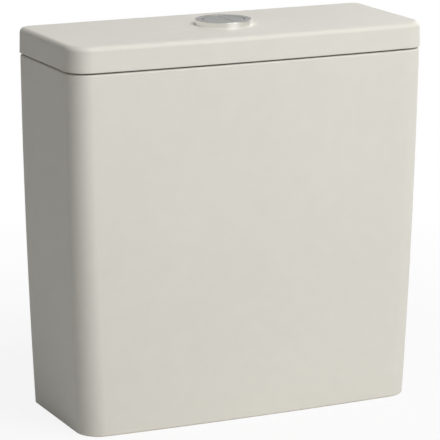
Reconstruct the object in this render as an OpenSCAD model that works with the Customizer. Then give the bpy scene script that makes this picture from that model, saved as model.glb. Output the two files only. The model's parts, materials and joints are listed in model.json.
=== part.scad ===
// Close-coupled toilet cistern in glazed ceramic, with a dual push button in the lid,
// a tower flush valve with an overflow tube, and a float fill valve fed from below.
// Millimetres. +X is to the right seen from the front, +Y towards the wall, +Z up.
// The origin is on the base plane, at the centre of the plan.

/* [Tank] */
// Height of the tank from its base to its rim
tank_h = 358; // [335:1:400]
// Thickness of the tank's walls
wall_t = 10; // [8:0.5:12]
// Thickness of the tank's floor
floor_t = 12; // [9:0.5:16]
// Height of the floor's underside above the base
skirt_h = 48; // [47:1:60]
// Lean of each side from the rim to the base
side_taper = 1.8; // [0:0.1:4]
// Extra inward sweep of each side at the base
side_sweep = 8.2; // [0:0.1:12]
// Lean of the front from the rim to the base
front_lean = 4.4; // [0:0.1:9]
// Set-back of the front's ends behind its middle
front_bow = 4.2; // [0:0.1:6]
// Radius of the front corners at the rim
front_r = 20.5; // [15:0.5:28]
// Radius of the front corners at the base
base_front_r = 23; // [15:0.5:30]
// Radius of the back corners
back_r = 13; // [11:0.5:20]
// Radius of the rim's outer edge
rim_r = 2; // [1:0.1:3]
// Bevel of the base's outer edge
base_bevel = 1.2; // [0.4:0.1:3]
// Radius inside where the walls meet the floor
hollow_r = 8; // [4:0.5:12]

/* [Lid] */
// Width of the lid at its lower edge
lid_w = 380; // [350:1:440]
// Depth of the lid at its lower edge
lid_d = 153; // [146:1:200]
// Height of the lid from its lower edge to its top
lid_h = 25.4; // [22:0.2:34]
// Overhang of the lid at the front and the sides
lid_overhang = 0.8; // [0:0.1:3]
// Lean of the lid's faces over its height
lid_draft = 0.4; // [0:0.1:3]
// Radius of the lid's top edge
lid_edge_r = 5.5; // [3:0.5:10]
// Bevel of the lid's lower edge
lid_bevel = 0.8; // [0.4:0.1:2]
// Thickness of the lid's top plate
lid_plate = 9; // [7:0.5:12]
// Drop of the locating lip into the tank
lip_drop = 9; // [6:0.5:12]
// Thickness of the locating lip
lip_wall = 7; // [5:0.5:9]
// Gap between the lip and the tank's walls
lip_gap = 3; // [2:0.5:5]
// Height of the seam between lid and tank
seam_gap = 1.4; // [1:0.1:2.5]
// Radius of each soft pad in the seam
pad_r = 3; // [2:0.1:3.5]
// Distance between the pads along each side
pad_spacing = 84; // [60:1:100]

/* [Fixing holes] */
// Distance between the two coupling bolt holes
bolt_spacing = 150; // [140:1:165]
// Radius of a coupling bolt hole
bolt_hole_r = 5.5; // [4.5:0.1:7]
// Distance between the two wall screw holes
screw_spacing = 220; // [180:1:280]
// Radius of a wall screw hole
screw_hole_r = 4.5; // [3:0.1:6]
// Height of the rim above the wall screw holes
screw_drop = 30; // [22:1:60]

/* [Push button] */
// Outer radius of the bezel
bezel_r = 28; // [27:0.1:32]
// Height of the bezel above the lid
bezel_h = 5.4; // [3.6:0.1:6.5]
// Radius of the bezel's top edge
bezel_edge_r = 0.8; // [0.6:0.1:2]
// Width of the bezel's rim round its gasket
bezel_rim = 1.2; // [0.8:0.1:2]
// Depth of the bezel's lip over the sleeve
bezel_lip = 1.4; // [1:0.1:2]
// Gap between the bezel's rim and the lid
bezel_shadow = 0.3; // [0.1:0.1:0.6]
// Thickness of the foam ring under the bezel
bezel_gasket_t = 0.8; // [0.6:0.1:1.5]
// Outer radius of the threaded sleeve
sleeve_r = 22.5; // [22:0.1:24]
// Wall of the threaded sleeve
sleeve_wall = 1.5; // [1.2:0.1:2]
// Length of the sleeve below the lid's top plate
sleeve_drop = 27; // [25:0.5:30]
// Thickness of the sleeve's guide shelf
shelf_t = 3; // [2:0.1:4]
// Radial thickness of the sleeve's ring nut
sleeve_nut_t = 5.2; // [4:0.1:8]
// Height of the sleeve's ring nut
sleeve_nut_h = 8; // [6:0.5:12]
// Reach of each lug on the ring nut
sleeve_lug = 3; // [2:0.5:5]
// Gap between the caps and the sleeve
cap_gap = 0.5; // [0.3:0.1:0.8]
// Gap between the two caps
split_gap = 0.8; // [0.5:0.1:1.5]
// Distance of the split from the button's centre
split_x = 3; // [1:0.1:4]
// Depth of the caps' tops below the bezel's top
cap_set = 0.1; // [0.1:0.1:2]
// Height of a cap from its skirt to its top
cap_h = 14; // [11:0.5:16]
// Thickness of a cap's skirt
cap_wall = 1.5; // [1.2:0.1:2]
// Thickness of a cap's top
cap_plate = 2; // [1.5:0.1:3]
// Travel of a cap when it is pressed
press_travel = 9; // [7:0.5:10]
// Radius of a push rod
rod_r = 3; // [2.5:0.1:3.5]
// Radius of the boss that holds a rod under its cap
boss_r = 4.5; // [4:0.1:5]
// Gap between a return spring and the boss inside it
spring_play = 0.95; // [0.6:0.05:1.2]
// Diameter of the spring wire
spring_wire = 0.9; // [0.6:0.1:1.2]
// Number of turns of a return spring
spring_turns = 6; // [4:1:9]

/* [Flush valve] */
// Outer radius of the threaded tail
tail_r = 29.5; // [28.5:0.1:30]
// Wall of the threaded tail
tail_wall = 4.5; // [3.5:0.1:5.5]
// Length of the tail below the floor
tail_len = 40; // [38:1:44]
// Radius of the flange on the floor
flange_r = 43; // [42:0.5:48]
// Thickness of the flange
flange_t = 5; // [4:0.5:7]
// Radius of the seat's outside
seat_r = 31; // [30:0.1:32]
// Height of the seat above the flange
seat_h = 10; // [9:0.5:14]
// Thickness of the rubber ring under the flange
flush_gasket_t = 3; // [2:0.5:4]
// Radial thickness of the back nut
back_nut_t = 10; // [7:0.5:11]
// Height of the back nut
back_nut_h = 12; // [9:0.5:13]
// Reach of each lug on the back nut
back_nut_lug = 3; // [2:0.5:4]
// Outer radius of the coupling washer
coupling_r = 44; // [40:0.5:46]
// Height of the coupling washer
coupling_h = 33; // [24:0.5:34]
// Height of the straight part of the coupling washer
coupling_straight = 18; // [10:0.5:20]
// Lean of the coupling washer's lower part
coupling_lean = 4; // [2:0.5:6]
// Width of the flange outside the tower's collar
flange_land = 2; // [1:0.1:4]
// Radial thickness of a column
column_t = 3.8; // [3:0.1:4]
// Width of a column
column_w = 7; // [5:0.5:9]
// Number of columns
columns = 6; // [4:2:8]
// Height of the tower's collar on the flange
collar_h = 8; // [6:0.5:9]
// Radial thickness of the collar
collar_t = 5; // [4.6:0.1:5.5]
// Height of the lower guide above the flange
guide_rise = 80; // [60:1:95]
// Height of a guide ring
guide_h = 5; // [4:0.5:8]
// Radial thickness of a guide ring
guide_t = 3; // [2:0.5:5]
// Width of a guide's spokes
spoke_w = 4; // [3:0.5:5]
// Outer radius of the overflow tube
tube_r = 15; // [14:0.1:16]
// Wall of the overflow tube
tube_wall = 2.2; // [1.8:0.1:3]
// Reach of the seal past the carrier above it
carrier_set = 3; // [1:0.1:5]
// Thickness of the carrier
carrier_t = 4; // [3:0.5:6]
// Reach of the seal past its seat
seal_reach = 2; // [1:0.1:3]
// Thickness of the seal
seal_t = 3; // [2:0.1:4]
// Gap between the outlet's bore and the ring nut under the seal
retainer_gap = 3.5; // [2:0.5:6]
// Height of the ring nut under the seal
retainer_h = 6; // [5:0.5:8]
// Radial thickness of the half float
half_float_t = 11; // [8:0.5:12]
// Height of the half float
half_float_h = 30; // [20:1:34]
// Bevel of the half float's edges
half_float_bevel = 2; // [1:0.5:3]
// Height of the half float's stop above the flange
stop_rise = 56; // [50:1:60]
// Height of the half float's stop ring
stop_h = 6; // [4:0.5:8]
// Radial thickness of the stop ring
stop_t = 6; // [4:0.5:8]

/* [Rockers and links] */
// Depth of the rockers' pivots below the tank's rim
pivot_drop = 56; // [54:0.5:60]
// Distance from a rocker's pivot to its rod
pad_arm = 20; // [18:0.5:23]
// Reach of a rocker past its rod
pad_reach = 4; // [3:0.5:5]
// Distance from a rocker's pivot to its hook
hook_arm = 26; // [23:0.5:28]
// Reach of a rocker past its hook
tip_reach = 3; // [2:0.5:4]
// Width of a rocker
rocker_w = 9; // [7:0.5:10]
// Thickness of a rocker
rocker_t = 6; // [5:0.5:6.5]
// Radius of a rocker's boss
rocker_boss_r = 5.5; // [4.5:0.1:6]
// Radius of the rockers' pins
rocker_pin_r = 2; // [1.5:0.1:2.5]
// Gap between a rocker and what it touches in use
rocker_play = 0.5; // [0.4:0.1:1]
// Thickness of the head's ring
head_ring_t = 6; // [5:0.5:8]
// Depth of the head's ring below the pivots
head_drop = 10; // [9:0.5:12]
// Width of the head's ring inside the ears
head_land = 1; // [0.5:0.1:2]
// Reach of the head's ring past the middle of the columns
head_reach = 5.5; // [4:0.5:8]
// Thickness of each ear
ear_t = 3.5; // [3:0.5:5]
// Width of each ear
ear_w = 12; // [10:0.5:13]
// Reach of each ear above its pivot
ear_rise = 5; // [4:0.5:7]
// Reach of each pin past the ears
pin_reach = 1.5; // [1:0.5:3]
// Depth of the tube's rim below the pivots
rim_drop = 40; // [38:1:48]
// Depth of the yoke below the tube's rim
yoke_drop = 24; // [20:1:30]
// Height of the yoke's collar
yoke_collar_h = 8; // [7:0.5:12]
// Radial thickness of the yoke's collar
yoke_collar_t = 4.5; // [3:0.5:6]
// Thickness of the yoke's arms
yoke_arm_t = 6; // [5:0.5:7]
// Width of the yoke's arms
yoke_arm_w = 12; // [11:0.5:14]
// Reach of the arms past the links
yoke_reach = 3; // [2:0.5:5]
// Thickness of a link's strip
link_t = 4; // [3:0.5:5]
// Width of a link's strip
link_w = 6; // [5:0.5:7]
// Gap between a rocker's tip and its link's strip
link_gap = 1.5; // [1.2:0.1:2.5]
// Gap between a link and its slot in the yoke
slot_gap = 0.4; // [0.3:0.1:0.6]
// Radius of a link's hook where it rests on the rocker
hook_r = 2.5; // [2:0.1:2.5]
// Thickness of a link's hook above its rounded underside
hook_t = 5; // [4:0.5:7]
// Reach of a link's hook past its rounded underside
hook_reach = 4; // [3:0.5:5]
// Thickness of a link's foot
foot_t = 4; // [3:0.5:6]
// Reach of a link's foot past its strip
foot_reach = 2; // [1.5:0.5:3]
// Free travel of the half link under the yoke
half_play = 14; // [13.5:0.5:18]

/* [Fill valve] */
// Gap between the fill float and the tank's side wall
fill_side_gap = 14; // [10:0.5:18]
// Outer radius of the threaded inlet tail
inlet_r = 10.45; // [10:0.05:10.6]
// Depth of the tail's neck through the floor, below the thread
neck_cut = 0.25; // [0.1:0.05:0.6]
// Length of the inlet tail below the floor
inlet_len = 44; // [40:1:46]
// Radius of the shank's flange
shank_flange_r = 17; // [16:0.5:20]
// Thickness of the shank's flange
shank_flange_t = 6; // [4:0.5:8]
// Outer radius of the inner pipe
pipe_r = 8.2; // [7.5:0.1:9]
// Wall of the inner pipe
pipe_wall = 2.7; // [2:0.1:3.5]
// Thickness of the rubber ring under the shank's flange
fill_gasket_t = 3; // [2:0.5:4]
// Gap round the neck in the floor
floor_hole_gap = 1.3; // [0.8:0.1:2]
// Corner radius of the hexagon back nut
fill_nut_r = 19.6; // [18:0.1:21]
// Height of the hexagon back nut
fill_nut_h = 10; // [8:0.5:12]
// Wall of the inlet tail round the strainer
inlet_wall = 3; // [2.5:0.1:3.5]
// Length of the strainer
strainer_len = 20; // [14:0.5:26]
// Wall of the strainer
strainer_wall = 0.8; // [0.6:0.1:1.2]
// Width of the strainer's slots
strainer_slot = 1.2; // [0.8:0.1:2]
// Gap between the inner pipe and the riser
riser_gap = 2.2; // [1.5:0.1:3]
// Wall of the riser
riser_wall = 2.2; // [1.8:0.1:2.6]
// Height of the riser's outlet slots above the flange
outlet_rise = 5; // [3:0.5:8]
// Height of the riser's outlet slots
outlet_h = 16; // [10:0.5:18]
// Width of the riser's outlet slots
outlet_w = 8; // [5:0.5:10]
// Height of the lock ring above the flange
lock_rise = 30; // [29:0.5:40]
// Height of the lock ring
lock_h = 10; // [6:0.5:14]
// Radial thickness of the lock ring
lock_t = 5; // [3:0.5:7]
// Depth of the valve head's underside below the tank's rim
fill_head_drop = 96; // [94:0.5:100]
// Radius of the valve head
fill_head_r = 20; // [19.5:0.1:21]
// Height of the valve head
fill_head_h = 25; // [22:0.5:28]
// Depth of the valve head's socket for the pipe
socket_h = 8; // [6:0.5:10]
// Width of the diaphragm's seat in the valve head
diaphragm_seat = 3.5; // [2:0.1:5]
// Wall of the valve head round the diaphragm
fill_head_wall = 2.5; // [2:0.1:3.5]
// Thickness of the diaphragm
diaphragm_t = 3; // [2:0.1:4]
// Thickness of the cap's skirt
fill_cap_wall = 2.4; // [1.8:0.1:3]
// Height of the cap's skirt
fill_cap_skirt = 11; // [8:0.5:14]
// Thickness of the cap's roof over the diaphragm's space
fill_cap_roof = 4.5; // [3:0.5:7]
// Width of the cap's hold on the diaphragm
diaphragm_hold = 6.5; // [4:0.5:8]
// Spare height over the valve pin's stroke
relief_spare = 0.5; // [0.4:0.1:1]
// Distance from the lever's pivot to the valve pin
valve_arm = 7; // [6:0.1:8]
// Distance from the lever's pivot to the float link
lever_arm = 30; // [27:0.5:33]
// Height of the lever's pivot above the cap
lever_rise = 8; // [8:0.5:10]
// Thickness of the lever
lever_t = 5; // [4:0.5:5]
// Width of the lever
lever_w = 10; // [9:0.5:11]
// Radius of the lever's boss
lever_boss_r = 4; // [3.5:0.1:4.5]
// Reach of the lever past the valve pin
valve_reach = 3; // [2:0.5:3]
// Length of the lever's slot inside the link
slot_in = 2.5; // [2.5:0.1:4]
// Length of the lever's slot outside the link
slot_out = 8; // [8:0.5:10]
// Reach of the lever past its slot
lever_reach = 3; // [2:0.5:4]
// Radius of the lever's pin
lever_pin_r = 1.6; // [1.2:0.1:2]
// Thickness of the lever's ears
lever_ear_t = 3; // [2:0.5:4]
// Width of the lever's ears
lever_ear_w = 10; // [8:0.5:11]
// Reach of the lever's ears above the pivot
lever_ear_rise = 4.5; // [3.5:0.5:6]
// Radius of the float link's rod
link_rod_r = 2; // [1.5:0.1:2]
// Radius of the float link's round stops
link_stop_r = 4; // [3.5:0.1:4]
// Gap under the lever to the lower stop
stop_gap_low = 0.3; // [0.3:0.1:0.6]
// Gap over the lever to the upper stop
stop_gap_high = 3; // [3:0.1:5]
// Radius of the valve pin
valve_pin_r = 2; // [1.5:0.1:2]
// Gap between the valve pin and the lever or the diaphragm
valve_pin_gap = 0.3; // [0.3:0.1:0.5]
// Stroke of the valve pin
valve_stroke = 4; // [3.5:0.1:4.5]
// Outer radius of the fill float
float_r = 30; // [27:0.5:32]
// Height of the fill float
float_h = 60; // [45:1:70]
// Wall of the fill float
float_wall = 2; // [1.5:0.1:3]
// Rise of the fill float
float_travel = 14; // [10:0.5:14]
// Gap between the risen float and the valve head
float_head_gap = 4; // [2:0.5:8]
// Height of the float's lug for the link
lug_h = 8; // [6:0.5:12]
// Width of the float's lug
lug_w = 12; // [9:0.5:16]
// Reach of the lug past the link
lug_reach = 4; // [3:0.5:6]

/* [Fits] */
// Radial gap of a hinge pin in its turning bore
run_gap = 0.05; // [0.02:0.01:0.09]
// Radial gap of a pin or a ring in its fixed seat
seat_gap = 0.03; // [0.02:0.01:0.06]
// Gap between sliding or threaded pieces
slide_gap = 0.3; // [0.2:0.05:0.5]
// Gap between a float or guide and what it slides on
float_gap = 0.6; // [0.4:0.1:1]

/* [Hidden] */
$fn = 64;

// Extra length of a cutting tool past the face that it cuts
over = 1;
// Least radius of an inside corner
corner_min = 3;
// Steps along the front, round a corner, up the tank, round an edge and round an inside edge
front_steps = 8;
corner_steps = 6;
height_steps = 9;
edge_steps = 4;
hollow_steps = 2;
// Sides of the spring wire and stations along one turn
wire_sides = 6;
turn_steps = 12;

// Colours of the pieces
glaze = [0.83, 0.82, 0.78];
chrome = [0.72, 0.72, 0.73];
white_plastic = [0.92, 0.92, 0.90];
grey_plastic = [0.62, 0.64, 0.66];
blue_plastic = [0.30, 0.45, 0.62];
rubber = [0.16, 0.16, 0.17];
foam = [0.25, 0.25, 0.26];
steel = [0.66, 0.66, 0.64];
silicone = [0.80, 0.80, 0.80];

// Heights of the tank and the lid
floor_z = skirt_h + floor_t;
lid_z = tank_h + seam_gap;
lid_top = lid_z + lid_h;
plate_z = lid_top - lid_plate;
lip_z = tank_h - lip_drop;

// Insets of the lip and of the lid's hollow from the lid's lower edge
lip_in = lid_overhang + wall_t + lip_gap;
lid_hollow_in = lip_in + lip_wall;

// Push button
bezel_top = lid_top + bezel_h;
gasket_top = lid_top + bezel_gasket_t;
sleeve_in_r = sleeve_r - sleeve_wall;
sleeve_top = bezel_top - bezel_lip;
sleeve_bottom = plate_z - sleeve_drop;
shelf_top = sleeve_bottom + shelf_t;
lid_hole_r = sleeve_r + slide_gap;
cap_r = sleeve_in_r - cap_gap;
rod_x = (split_x + split_gap/2 + cap_r)/2;
spring_r = boss_r + spring_play + spring_wire/2;
sleeve_nut_r = sleeve_r + slide_gap + sleeve_nut_t;
cap_top = bezel_top - cap_set;
cap_under = cap_top - cap_plate;
boss_bottom = shelf_top + press_travel + over;

// Flush valve
flange_z = floor_z + flush_gasket_t;
flange_top = flange_z + flange_t;
seat_z = flange_top + seat_h;
tail_end = skirt_h - tail_len;
outlet_r = tail_r - tail_wall;
back_nut_r = tail_r + slide_gap + back_nut_t;
column_r = flange_r - flange_land - collar_t/2;
seal_r = seat_r + seal_reach;
carrier_r = seal_r - carrier_set;
retainer_r = outlet_r - retainer_gap;
back_nut_z = skirt_h - back_nut_h;
coupling_z = back_nut_z - coupling_h;
seal_top = seat_z + seal_t;
tube_in_r = tube_r - tube_wall;
retainer_z = seat_z - retainer_h;
column_corner_r = norm([column_r + column_t/2, column_w/2]);
stop_z = flange_top + stop_rise;
half_float_z = stop_z + stop_h;
half_float_in_r = column_corner_r + float_gap;

// Rockers and links
pivot_z = tank_h - pivot_drop;
pivot_x = rod_x + pad_arm;
rod_tip_z = pivot_z + rocker_t/2 + rocker_play;
head_top = pivot_z - head_drop;
head_z = head_top - head_ring_t;
head_in_r = pivot_x - ear_w/2 - head_land;
head_out_r = column_r + head_reach;
ear_y = rocker_w/2 + float_gap;
pin_len = 2*(ear_y + ear_t + pin_reach);
tube_top = pivot_z - rim_drop;
yoke_z = tube_top - yoke_drop;
hook_x = pivot_x + hook_arm;
link_x = hook_x + tip_reach + link_gap;
hook_z = pivot_z + rocker_t/2 + rocker_play + hook_r;
yoke_half = link_x + link_t + yoke_reach;

// Fill valve
fill_x = tank_hw(floor_z) - wall_t - fill_side_gap - float_r;
shank_flange_z = floor_z + fill_gasket_t;
shank_flange_top = shank_flange_z + shank_flange_t;
inlet_end = skirt_h - inlet_len;
neck_r = inlet_r - neck_cut;
strainer_r = inlet_r - inlet_wall;
water_r = pipe_r - pipe_wall;
riser_r = pipe_r + riser_gap + riser_wall;
fill_nut_z = skirt_h - fill_nut_h;
fill_head_z = tank_h - fill_head_drop;
fill_head_top = fill_head_z + fill_head_h;
diaphragm_z = fill_head_top - diaphragm_t;
diaphragm_r = fill_head_r - fill_head_wall;
chamber_r = diaphragm_r - diaphragm_seat;
relief_r = diaphragm_r - diaphragm_hold;
relief_h = valve_stroke + relief_spare;
fill_cap_t = relief_h + fill_cap_roof;
fill_cap_r = fill_head_r + slide_gap + fill_cap_wall;
fill_cap_top = fill_head_top + fill_cap_t;
lever_z = fill_cap_top + lever_rise;
lever_x = fill_x - valve_arm;
link_rod_x = lever_x - lever_arm;
lever_ear_y = lever_w/2 + float_gap;
lever_pin_len = 2*(lever_ear_y + lever_ear_t + pin_reach);
float_top = fill_head_z - float_head_gap - float_travel;
float_z = float_top - float_h;
float_in_r = riser_r + float_gap;

// Share of the way down from the rim to the base
function down(z) = (tank_h - z)/tank_h;
// Half width of the tank's outside at a height
function tank_hw(z) = lid_w/2 - lid_overhang - side_taper*down(z) - side_sweep*pow(down(z), 2);
// Front of the tank's outside at a height, at the middle of the front
function tank_front(z) = lid_overhang - lid_d/2 + front_lean*down(z);
// Radius of the tank's front corners at a height
function tank_corner(z) = front_r + (base_front_r - front_r)*down(z);

// Direction of a column of the tower
function column_angle(i) = 360*(i + 0.5)/columns;

// Points along an arc
function arc(cx, cy, r, from, to, n) =
    [for (i = [0:n]) let(a = from + (to - from)*i/n) [cx + r*cos(a), cy + r*sin(a)]];

// Points round the plan, from its half width, front, back and corner radii
function plan(hw, yf, yb, rf, rb) = concat(
    [for (i = [1:front_steps - 1]) [(hw - rf)*(2*i/front_steps - 1), yf]],
    arc(hw - rf, yf + rf, rf, -90, 0, corner_steps),
    arc(hw - rb, yb - rb, rb, 0, 90, corner_steps),
    arc(rb - hw, yb - rb, rb, 90, 180, corner_steps),
    arc(rf - hw, yf + rf, rf, 180, 270, corner_steps));

// The plan at a height, with the front bowed
function plan_ring(hw, yf, yb, rf, rb, z) =
    [for (p = plan(hw, yf, yb, rf, rb)) [p[0], p[1] < 0 ? p[1] + front_bow*pow(p[0]/hw, 2) : p[1], z]];

// A ring of the tank at a height, inset from its outside
function tank_ring(z, in) = plan_ring(
    tank_hw(z) - in, tank_front(z) + in, lid_d/2 - in,
    max(tank_corner(z) - in, corner_min), max(back_r - in, corner_min), z);

// A ring of the lid at a height, inset from its lower edge
function lid_ring(z, in) = plan_ring(
    lid_w/2 - in, in - lid_d/2, lid_d/2 - in,
    max(front_r + lid_overhang - in, corner_min), max(back_r - in, corner_min), z);

// A closed skin over rings with the same number of points, with flat ends
module skin(rings) {
    n = len(rings[0]);
    last = len(rings) - 1;
    walls = [for (k = [0:last - 1]) for (i = [0:n - 1]) let(j = (i + 1) % n) each [
        [k*n + i, (k + 1)*n + i, (k + 1)*n + j],
        [k*n + i, (k + 1)*n + j, k*n + j]]];
    ends = [[for (i = [0:n - 1]) i], [for (i = [n - 1:-1:0]) last*n + i]];
    polyhedron([for (ring = rings) each ring], concat(walls, ends), convexity = 8);
}

// A tube or ring between two radii and two heights
module ring(outer, inner, z, h) {
    translate([0, 0, z])
        difference() {
            cylinder(r = outer, h = h);
            translate([0, 0, -over]) cylinder(r = inner, h = h + 2*over);
        }
}

// A box given by its two corners
module box(low, high) {
    translate(low) cube(high - low);
}

// A cylinder along Y, centred on y = 0
module cross_pin(r, len, x, z) {
    translate([x, 0, z]) rotate([90, 0, 0]) cylinder(r = r, h = len, center = true);
}

// A rod with a round lower end
module round_ended_rod(r, z, h) {
    rotate_extrude()
        polygon(concat(
            [[0, z + h]],
            [[0, z]],
            [for (p = arc(0, z + r, r, -90, 0, edge_steps)) if (p[0] > 0.01) p],
            [[r, z + h]]));
}

// Stations of a helical wire standing on a height
function coil(r, wire, turns, z, h) = let(steps = turns*turn_steps)
    [for (k = [0:steps]) let(a = 360*k/turn_steps, mid = z + wire/2 + (h - wire)*k/steps)
        [for (m = [0:wire_sides - 1]) let(b = -360*m/wire_sides, w = r + wire/2*cos(b))
            [w*cos(a), w*sin(a), mid + wire/2*sin(b)]]];

// Least gap between neighbouring turns, measured on their points
function coil_gap(rings) =
    min([for (p = rings[0]) for (q = rings[turn_steps]) norm(p - q)]);

spring_h = cap_under - shelf_top - 2*slide_gap;
spring_rings = coil(spring_r, spring_wire, spring_turns, shelf_top + slide_gap, spring_h);
echo(spring_gap = coil_gap(spring_rings));

// Ceramic tank: skirt, raised floor, walls and fixing holes
module tank() {
    low_in = wall_t + hollow_r;
    outside = [for (i = [0:height_steps])
        tank_ring(base_bevel + (tank_h - rim_r - base_bevel)*i/height_steps, 0)];
    rim = [for (p = arc(rim_r, tank_h - rim_r, rim_r, 180, 90, hollow_steps)) tank_ring(p[1], p[0])];
    inside = [for (i = [0:height_steps])
        tank_ring(tank_h - (tank_h - floor_z - hollow_r)*i/height_steps, wall_t)];
    floor_edge = [for (p = arc(low_in, floor_z + hollow_r, hollow_r, 180, 270, hollow_steps))
        tank_ring(p[1], p[0])];
    color(glaze) difference() {
        skin(concat(
            [tank_ring(skirt_h, low_in), tank_ring(skirt_h - hollow_r, wall_t)],
            [tank_ring(0, wall_t), tank_ring(0, base_bevel)],
            outside,
            [for (k = [1:hollow_steps]) rim[k]],
            inside,
            [for (k = [1:hollow_steps]) floor_edge[k]]));
        translate([0, 0, skirt_h - over]) cylinder(r = tail_r + floor_hole_gap, h = floor_t + 2*over);
        translate([fill_x, 0, skirt_h - over]) cylinder(r = neck_r + floor_hole_gap, h = floor_t + 2*over);
        for (side = [-1, 1]) {
            translate([side*bolt_spacing/2, 0, skirt_h - over])
                cylinder(r = bolt_hole_r, h = floor_t + 2*over);
            translate([side*screw_spacing/2, lid_d/2 + over, tank_h - screw_drop])
                rotate([90, 0, 0]) cylinder(r = screw_hole_r, h = wall_t + 2*over);
        }
    }
}

// Ceramic lid: top plate with a rounded edge, rim and locating lip
module lid() {
    edge = [for (p = arc(lid_draft + lid_edge_r, lid_top - lid_edge_r, lid_edge_r, 180, 90, edge_steps))
        lid_ring(p[1], p[0])];
    color(glaze) difference() {
        skin(concat(
            [lid_ring(plate_z, lid_hollow_in + corner_min), lid_ring(plate_z - corner_min, lid_hollow_in)],
            [lid_ring(lip_z, lid_hollow_in), lid_ring(lip_z, lip_in)],
            [lid_ring(lid_z, lip_in), lid_ring(lid_z, lid_bevel), lid_ring(lid_z + lid_bevel, 0)],
            edge));
        translate([0, 0, plate_z - over]) cylinder(r = lid_hole_r, h = lid_plate + 2*over);
    }
}

// Soft pads between the tank's rim and the lid
module lid_pads() {
    color(silicone)
        for (sx = [-1, 1], sy = [-1, 1])
            translate([sx*(tank_hw(tank_h) - wall_t/2), sy*pad_spacing/2, tank_h])
                cylinder(r = pad_r, h = seam_gap);
}

// Chrome ring on the lid
module button_bezel() {
    color(chrome) rotate_extrude()
        polygon(concat(
            [[bezel_r, lid_top + bezel_shadow]],
            arc(bezel_r - bezel_edge_r, bezel_top - bezel_edge_r, bezel_edge_r, 0, 90, edge_steps),
            [[sleeve_in_r, bezel_top], [sleeve_in_r, sleeve_top], [sleeve_r + seat_gap, sleeve_top]],
            [[sleeve_r + seat_gap, gasket_top], [bezel_r - bezel_rim, gasket_top]],
            [[bezel_r - bezel_rim, lid_top + bezel_shadow]]));
}

// Foam ring between the bezel and the lid
module bezel_gasket() {
    color(foam) ring(bezel_r - bezel_rim - seat_gap, sleeve_r + seat_gap, lid_top, bezel_gasket_t);
}

// Sleeve through the lid, with a shelf that guides the rods and carries the springs
module button_sleeve() {
    color(white_plastic) difference() {
        translate([0, 0, sleeve_bottom]) cylinder(r = sleeve_r, h = sleeve_top - sleeve_bottom);
        translate([0, 0, shelf_top]) cylinder(r = sleeve_in_r, h = sleeve_top - shelf_top + over);
        for (side = [-1, 1])
            translate([side*rod_x, 0, sleeve_bottom - over])
                cylinder(r = rod_r + slide_gap, h = shelf_t + 2*over);
    }
}

// Ring with lugs that grip it, threaded on a tube of the given radius
module lug_nut(outer, lug, inner, z, h, count) {
    difference() {
        union() {
            translate([0, 0, z]) cylinder(r = outer, h = h);
            for (i = [0:count - 1])
                rotate(360*(i + 0.5)/count) box([inner, -lug, z], [outer + lug, lug, z + h]);
        }
        translate([0, 0, z - over]) cylinder(r = inner, h = h + 2*over);
    }
}

// Nut that clamps the sleeve under the lid
module sleeve_nut() {
    color(white_plastic)
        lug_nut(sleeve_nut_r, sleeve_lug, sleeve_r + slide_gap, plate_z - sleeve_nut_h, sleeve_nut_h, 6);
}

// Plan of a cap, side -1 for the full flush and 1 for the half flush, inset from its edge
module cap_plan(side, in) {
    edge = side*split_x + split_gap/2 + in;
    intersection() {
        circle(r = cap_r - in);
        mirror([side < 0 ? 1 : 0, 0]) translate([edge, -cap_r]) square([2*cap_r, 2*cap_r]);
    }
}

// Hollow cap with a boss for its rod
module cap(side) {
    difference() {
        translate([0, 0, cap_top - cap_h]) linear_extrude(cap_h) cap_plan(side, 0);
        translate([0, 0, cap_top - cap_h - over])
            linear_extrude(cap_h - cap_plate + over) cap_plan(side, cap_wall);
    }
    translate([side*rod_x, 0, boss_bottom]) cylinder(r = boss_r, h = cap_under - boss_bottom + cap_plate/2);
}

// Push rod from a cap's boss down to its rocker
module push_rod(side) {
    translate([side*rod_x, 0, 0]) round_ended_rod(rod_r, rod_tip_z, boss_bottom - rod_tip_z);
}

// Return spring round a cap's boss
module return_spring(side) {
    translate([side*rod_x, 0, 0]) skin(spring_rings);
}

// Larger cap, rod and spring of the full flush
module full_button() { color(chrome) cap(-1); }
module full_rod() { color(grey_plastic) push_rod(-1); }
module full_spring() { color(steel) return_spring(-1); }

// Smaller cap, rod and spring of the half flush
module half_button() { color(chrome) cap(1); }
module half_rod() { color(grey_plastic) push_rod(1); }
module half_spring() { color(steel) return_spring(1); }

// Seat, flange and threaded tail of the flush valve
module flush_base() {
    color(white_plastic) rotate_extrude()
        polygon([
            [outlet_r, tail_end], [tail_r, tail_end], [tail_r, flange_z], [flange_r, flange_z],
            [flange_r, flange_top], [seat_r, flange_top], [seat_r, seat_z], [outlet_r, seat_z]]);
}

// Rubber ring under the flange
module flush_gasket() {
    color(rubber) ring(flange_r, tail_r + slide_gap, floor_z, flush_gasket_t);
}

// Large nut under the floor
module flush_back_nut() {
    color(white_plastic)
        lug_nut(back_nut_r, back_nut_lug, tail_r + slide_gap, back_nut_z, back_nut_h, 8);
}

// Foam doughnut that seals on the pan
module coupling_washer() {
    color(foam) rotate_extrude()
        polygon([
            [tail_r + slide_gap, coupling_z], [coupling_r - coupling_lean, coupling_z],
            [coupling_r, back_nut_z - coupling_straight], [coupling_r, back_nut_z],
            [tail_r + slide_gap, back_nut_z]]);
}

// Ring that guides the overflow tube, held by a spoke from every other column
module tube_guide(z) {
    inner = tube_r + float_gap;
    ring(inner + guide_t, inner, z, guide_h);
    for (i = [1:2:columns - 1])
        rotate(column_angle(i)) box([inner + guide_t/2, -spoke_w/2, z], [column_r, spoke_w/2, z + guide_h]);
}

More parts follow.
